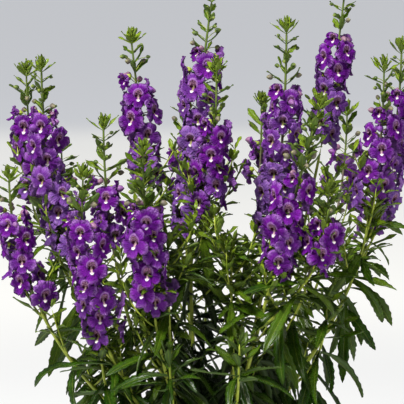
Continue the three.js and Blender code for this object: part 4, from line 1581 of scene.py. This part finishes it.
def pedicels(bloom):
    """The stalk of each bloom, and the star-shaped calyx that holds its tube."""
    end = bloom["centre"] - bloom["front"] * (TUBE_DEPTH - CALYX_LENGTH)
    back = bloom["centre"] - bloom["front"] * TUBE_DEPTH
    start = bloom["root"]
    bend = start * 0.45 + back * 0.55 + UP * 2.2 * MM
    t = np.array([0, 0.25, 0.5, 0.75, 0.94])[:, None]
    curve = (
        (1 - t) ** 2 * start[:, None] + 2 * t * (1 - t) * bend[:, None] + t**2 * back[:, None]
    )
    cup = back[:, None] + (end - back)[:, None] * np.array([0.02, 0.3, 0.65, 0.95, 0.6])[:, None]
    path = np.concatenate([curve, cup], 1)
    radii = bloom["size"][:, None] * np.array([*[PEDICEL_RADIUS] * len(t), *CALYX_RADII])
    depth = np.array([0, 0, 0, 0, 0, 0.05, 0.15, 0.3, 0.42, 0])
    tone = np.array([0.2, 0.15, 0.15, 0.15, 0.15, 0.12, 0.1, 0.12, 0.2, 0.2])
    return tubes(
        path, bloom["side"], radii, 10, tone=tone, lobes=5,
        lobe_depth=np.broadcast_to(depth, radii.shape),
    )


def stalked_buds(root, azimuth, radius, reach, rise, tone, key):
    """Buds on thin stalks: an arch whose radius swells to the bud and closes."""
    out, side, _ = facing(azimuth)
    up = np.broadcast_to(UP, out.shape)
    length = reach + 2.7 * radius
    stalk = (reach / length)[:, None]
    swell = np.array([0.0, 0.08, 0.3, 0.55, 0.8, 1.0])
    v = np.concatenate([
        stalk * np.array([0, 0.34, 0.67, 0.99]), stalk + (1 - stalk) * swell,
    ], 1)
    path, _ = arcs(root, out, up, length, rise, rise + spread(BUD_NOD, 51, key), v)
    bulge = np.array([0.35, 0.75, 1.0, 0.93, 0.55, 0.1])
    thin = np.full((len(key), 4), BUD_STALK_RADIUS)
    radii = np.concatenate([thin, radius[:, None] * bulge], 1)
    depth = np.array([0, 0, 0, 0, 0.1, 0.1, 0.06, 0.08, 0.14, 0.1])
    shade = tone[:, None] * np.array([0.2, 0.2, 0.2, 0.2, 0.3, 0.7, 1, 1, 1, 1])
    green = np.array([0.3, 0.3, 0.3, 0.3, 0.5, 0.8, 1, 0.9, 0.7, 0.3])
    return tubes(
        path, side, radii, 8, tone=shade, layer=green, lobes=4,
        lobe_depth=np.broadcast_to(depth, radii.shape),
    )


def bract_set(root, azimuth, length, width, rise, droop, key):
    """Small pointed bracts as blades."""
    return {
        "root": root,
        "azimuth": azimuth,
        "roll": spread((-18, 18), 61, key),
        "rise": rise,
        "droop": droop,
        "length": length,
        "width": width,
        "thickness": np.full(len(key), BRACT_THICKNESS),
        "key": key,
    }


class ANGELONIA_OT_racemes(bpy.types.Operator):
    """Build each raceme's stalk, calyces, bracts, buds and the rosette at its tip"""

    bl_idname = "angelonia.racemes"
    bl_label = "Raceme stalks and buds"

    def execute(self, context):
        looks = context.scene.angelonia_foliage
        materials = [stalk_material(looks), leaf_material(looks)]
        for stem in grow_stems().values():
            if stem.blooms:
                batch = Batch()
                self.add_stalk(batch, stem)
                self.add_blooms(batch, stem, looks)
                self.add_tops(batch, stem, looks)
                self.add_rosette(batch, stem, looks)
                batch.piece("raceme_" + stem.name, "foliage", ["buds_" + stem.name], materials)
        return {"FINISHED"}

    def add_stalk(self, batch, stem):
        """The flowering stalk, purplish among the blooms and green above them."""

        def tone(along):
            return 0.28 * smooth(stem.bloom_top + 15 * MM, stem.bloom_top - 25 * MM, along)

        batch.add(*stem_tube(stem, stem.bloom_end - 2 * MM, stem.length, 26, tone, 0.82))

    def add_blooms(self, batch, stem, looks):
        """Calyces and pedicels of the blooms, and the bract below each."""
        bloom = blooms_of(stem)
        batch.add(*pedicels(bloom))
        key = bloom["key"]
        bract = bract_set(
            stem.root(bloom["along"] - 1.5 * MM, bloom["azimuth"]),
            bloom["azimuth"] + spread((-25, 25), 62, key),
            spread(LOW_BRACT_LENGTHS, 63, key),
            spread(LOW_BRACT_WIDTHS, 64, key),
            spread(LOW_BRACT_RISE, 65, key),
            spread(LOW_BRACT_DROOP, 66, key),
            key,
        )
        batch.add(*blades(bract, looks, 6, spread((0.1, 0.5), 67, key)), 1)

    def add_tops(self, batch, stem, looks):
        """Bracts with stalked buds, in fours in the front row and in pairs behind it, and
        mauve buds just above the blooms.
        """
        span = stem.length - stem.bloom_top
        step = BUD_SPACING / 2
        count = int((span - TUFT_LENGTH / 2) / step)
        arms = 4 if stem.tip[1] < FRONT_ROW else 2
        number = np.repeat(np.arange(count), arms)
        arm = np.tile(np.arange(arms), count)
        along = stem.length - TUFT_LENGTH / 2 - (number + 1) * step
        turn = stem.outward + BUD_TURN * (number // 2) + 45 * (number % 2)
        azimuth = turn + 360 / arms * arm + spread(BUD_SCATTER, stem.seed + 5, number // 2)
        key = stem.keys("bracts", arms * number + arm)
        low = (number + 1) / count
        lush = 1 + LUSH_SHARE * smooth(*LUSH_HEIGHTS, stem.tip[2])
        root = stem.root(along, azimuth) + stem.shift(along)
        bract = bract_set(
            root,
            azimuth,
            grade(TOP_BRACT_LENGTHS, low) * lush * spread((0.8, 1.25), 68, key),
            grade(TOP_BRACT_WIDTHS, low) * lush**1.4 * spread((0.85, 1.2), 83, key),
            spread((10, 45), 69, key),
            spread((20, 75), 70, key),
            key,
        )
        batch.add(*blades(bract, looks, 8, spread((0.1, 0.55), 71, key)), 1)
        radius = grade(BUD_RADII, low) * spread((0.85, 1.15), 72, key)
        reach = grade(BUD_REACH, low) * spread((0.8, 1.2), 73, key)
        batch.add(*stalked_buds(
            root + UP * 1.2 * MM, azimuth + spread((-12, 12), 74, key), radius, reach,
            spread((35, 60), 75, key), np.where(low > 0.8, 0.25, 0.0), key,
        ))
        number = np.arange(LATE_BUDS)
        key = stem.keys("buds", number)
        along = stem.bloom_top + (number * 3.4 - 13) * MM
        azimuth = stem.faces + 150 * (draw(76, key) - 0.5) + 360 / LATE_BUDS * number
        late = np.linspace(1.0, 0.45, LATE_BUDS)
        batch.add(*stalked_buds(
            stem.root(along, azimuth) + stem.shift(along), azimuth,
            grade(LATE_BUD_RADII, late), grade(LATE_BUD_REACH, late),
            spread((20, 50), 77, key), 0.9 * late, key,
        ))

    def add_rosette(self, batch, stem, looks):
        """The crown of young bracts: whorls that are shorter and steeper further in."""
        whorl = np.repeat(np.arange(ROSETTE_WHORLS), ROSETTE_ARMS)
        number = np.tile(np.arange(ROSETTE_ARMS), ROSETTE_WHORLS)
        key = stem.keys("rosette", ROSETTE_ARMS * whorl + number)
        turn = 360 / ROSETTE_ARMS * (number + whorl / 2)
        azimuth = stem.outward + turn + spread((-14, 14), 78, key)
        share = whorl / (ROSETTE_WHORLS - 1)
        along = stem.length - grade(ROSETTE_PLACES, share)
        root = stem.point(np.minimum(along, stem.length))
        root = root + UP * np.maximum(along - stem.length, 0)[:, None]
        rise = grade(ROSETTE_RISE, share) + spread((-8, 8), 79, key)
        bract = bract_set(
            root,
            azimuth,
            grade(ROSETTE_LENGTHS, share) * spread((0.8, 1.25), 80, key),
            grade(ROSETTE_WIDTHS, share),
            rise,
            rise + spread((5, 35), 81, key),
            key,
        )
        batch.add(*blades(bract, looks, 6, spread((0.7, 1.0), 82, key)), 1)


def side_shoots(stem, looks):
    """Short leafy shoots on a stem: their stalks, and their leaves with a tone for each.

    Each stalk is an arch from the stem, and its leaves stand in crossed pairs, the shorter
    and steeper the nearer its tip.
    """
    number = np.arange(looks.side_shoots)
    key = stem.keys("shoots", number)
    share = (number + spread((0.2, 0.8), 101, key)) / looks.side_shoots
    low = (SIDE_START if stem.blooms else SIDE_START_BLOOMLESS) * stem.leaf_end
    high = grade((stem.bloom_end, stem.bloom_top), SIDE_BLOOM_SHARE)
    along = grade((low, high), share)
    azimuth = stem.faces + spread(SIDE_SWING, 102, key)
    length = spread(SIDE_LENGTHS, 103, key)
    rise, droop = spread(SIDE_RISE, 104, key), spread(SIDE_DROOP, 105, key)
    out, side, _ = facing(azimuth)
    up = np.broadcast_to(UP, out.shape)
    root = stem.point(along)
    v = np.linspace(0, 1, 8)
    path, _ = arcs(root, out, up, length, rise, droop, v)
    radii = grade(SIDE_RADII, v) + 0 * length[:, None]
    stalks = tubes(path, side, radii, 6, tone=0.0)
    place = np.linspace(SIDE_FIRST_PAIR, 1.0, SIDE_PAIRS)
    bases, _ = arcs(root, out, up, length, rise, droop, place)
    bases = np.repeat(bases.reshape(-1, 3), 2, axis=0)
    which = np.repeat(np.arange(len(number) * SIDE_PAIRS), 2)
    half = np.tile([0, 1], len(number) * SIDE_PAIRS)
    pair = which % SIDE_PAIRS
    shoot = which // SIDE_PAIRS
    leaf_key = key[shoot] * 20 + 2 * pair + half
    share = place[pair]
    leaf = bract_set(
        bases,
        azimuth[shoot] + 90 * (pair % 2) + 180 * half + 45 + spread((-20, 20), 106, leaf_key),
        grade(SIDE_LEAF_LENGTHS, share) * spread((0.8, 1.2), 107, leaf_key),
        grade(SIDE_LEAF_WIDTHS, share) * spread((0.85, 1.15), 108, leaf_key),
        grade(SIDE_LEAF_RISE, share) + spread((-15, 15), 109, leaf_key),
        grade(SIDE_LEAF_RISE, share) + spread((-35, 25), 110, leaf_key),
        leaf_key,
    )
    tone = grade(SIDE_LEAF_TONES, share * spread((0.7, 1.0), 111, leaf_key))
    return stalks, blades(leaf, looks, 8, tone)


class ANGELONIA_OT_leaves(bpy.types.Operator):
    """Build the leafy stems with their toothed leaves and the small leaves in the axils"""

    bl_idname = "angelonia.leaves"
    bl_label = "Leafy stems"

    def execute(self, context):
        looks = context.scene.angelonia_foliage
        materials = [stalk_material(looks), leaf_material(looks)]
        batches = {}
        for stem in grow_stems().values():
            batch = batches.setdefault(stem.node, Batch())
            batch.add(*stem_tube(stem, 0, stem.bloom_end, 22, lambda along: 0.08 + 0 * along))
            leaf = leaves_of(stem)
            height = leaf["root"][:, 2]
            tone = draw(91, leaf["key"]) * 0.35 * smooth(*LEAF_BRIGHT, height)
            batch.add(*blades(leaf, looks, looks.leaf_rows, tone), 1)
            young = young_leaves(stem, leaf, looks.young_count)
            height = young["root"][:, 2]
            tone = draw(92, young["key"]) * (0.15 + 0.5 * smooth(*YOUNG_BRIGHT, height))
            batch.add(*blades(young, looks, 13, tone), 1)
            if stem.tip[2] > HIGH_SHOOT:
                stalks, leaves = side_shoots(stem, looks)
                batch.add(*stalks)
                batch.add(*leaves, 1)
            if not stem.blooms:
                crown, tone = crown_leaves(stem)
                batch.add(*blades(crown, looks, 12, tone), 1)
        for node, batch in batches.items():
            batch.piece(node.replace("stem_", "leafy_stem_"), "foliage", [node], materials)
        return {"FINISHED"}


class ANGELONIA_OT_stage(bpy.types.Operator):
    """Build the floor, the lights and the camera"""

    bl_idname = "angelonia.stage"
    bl_label = "Stage"

    def execute(self, context):
        scene = context.scene
        looks = scene.angelonia_stage
        mesh = bpy.data.meshes.new("floor")
        signs = ((-1, -1), (1, -1), (1, 1), (-1, 1))
        corners = [(FLOOR_REACH * x, FLOOR_REACH * y, 0) for x, y in signs]
        mesh.from_pydata(corners, [], [(0, 1, 2, 3)])
        mesh.materials.append(floor_material(looks))
        floor = bpy.data.objects.new("floor", mesh)
        scene.collection.objects.link(floor)
        target = Vector((0, 0, looks.camera_height))
        for name, lamp in LAMPS.items():
            self.add_light(scene, name, getattr(looks, name), *lamp, target)
        world = bpy.data.worlds.new("studio")
        world.use_nodes = True
        background = world.node_tree.nodes["Background"]
        background.inputs["Color"].default_value = SKY_COLOUR
        background.inputs["Strength"].default_value = looks.sky
        scene.world = world
        scene.view_settings.view_transform = "Standard"
        lens = bpy.data.cameras.new("camera")
        lens.sensor_width = SENSOR_WIDTH
        lens.lens = SENSOR_WIDTH / 2 * looks.camera_distance / looks.half_view
        lens.clip_end = FURTHEST_SEEN
        camera = bpy.data.objects.new("camera", lens)
        elevation = looks.camera_elevation
        back = Vector((0, -math.cos(elevation), math.sin(elevation)))
        camera.location = target + back * looks.camera_distance
        camera.rotation_mode = "QUATERNION"
        camera.rotation_quaternion = (-back).to_track_quat("-Z", "Y")
        scene.collection.objects.link(camera)
        scene.camera = camera
        return {"FINISHED"}

    def add_light(self, scene, name, power, size, place, colour, target):
        """A square lamp that faces the plant."""
        lamp = bpy.data.lights.new(name, "AREA")
        lamp.energy = power
        lamp.size = size
        lamp.color = colour
        light = bpy.data.objects.new(name, lamp)
        light.location = place
        light.rotation_mode = "QUATERNION"
        light.rotation_quaternion = (target - light.location).to_track_quat("-Z", "Y")
        scene.collection.objects.link(light)


class ANGELONIA_PT_sidebar(bpy.types.Panel):
    """Lists the operators and their settings"""

    bl_idname = "ANGELONIA_PT_sidebar"
    bl_label = "Potted angelonia"
    bl_space_type = "VIEW_3D"
    bl_region_type = "UI"
    bl_category = "Angelonia"

    def draw(self, context):
        for operator in OPERATORS:
            self.layout.operator(operator.bl_idname)
        for name, group in SETTINGS.items():
            box = self.layout.box()
            for setting in group.__annotations__:
                box.prop(getattr(context.scene, name), setting)


OPERATORS = (
    ANGELONIA_OT_pot,
    ANGELONIA_OT_soil,
    ANGELONIA_OT_leaves,
    ANGELONIA_OT_racemes,
    ANGELONIA_OT_blooms,
    ANGELONIA_OT_stage,
)
SETTINGS = {
    "angelonia_petals": PetalLooks,
    "angelonia_foliage": FoliageLooks,
    "angelonia_pot": PotLooks,
    "angelonia_stage": StageLooks,
}


def register():
    for group in SETTINGS.values():
        bpy.utils.register_class(group)
    for name, group in SETTINGS.items():
        setattr(bpy.types.Scene, name, bpy.props.PointerProperty(type=group))
    for operator in OPERATORS:
        bpy.utils.register_class(operator)
    bpy.utils.register_class(ANGELONIA_PT_sidebar)


def unregister():
    bpy.utils.unregister_class(ANGELONIA_PT_sidebar)
    for operator in reversed(OPERATORS):
        bpy.utils.unregister_class(operator)
    for name, group in SETTINGS.items():
        delattr(bpy.types.Scene, name)
        bpy.utils.unregister_class(group)


def main():
    """Builds the plant and its stage."""
    register()
    bpy.ops.angelonia.pot()
    bpy.ops.angelonia.soil()
    bpy.ops.angelonia.leaves()
    bpy.ops.angelonia.racemes()
    bpy.ops.angelonia.blooms()
    bpy.ops.angelonia.stage()


if __name__ == "__main__":
    main()
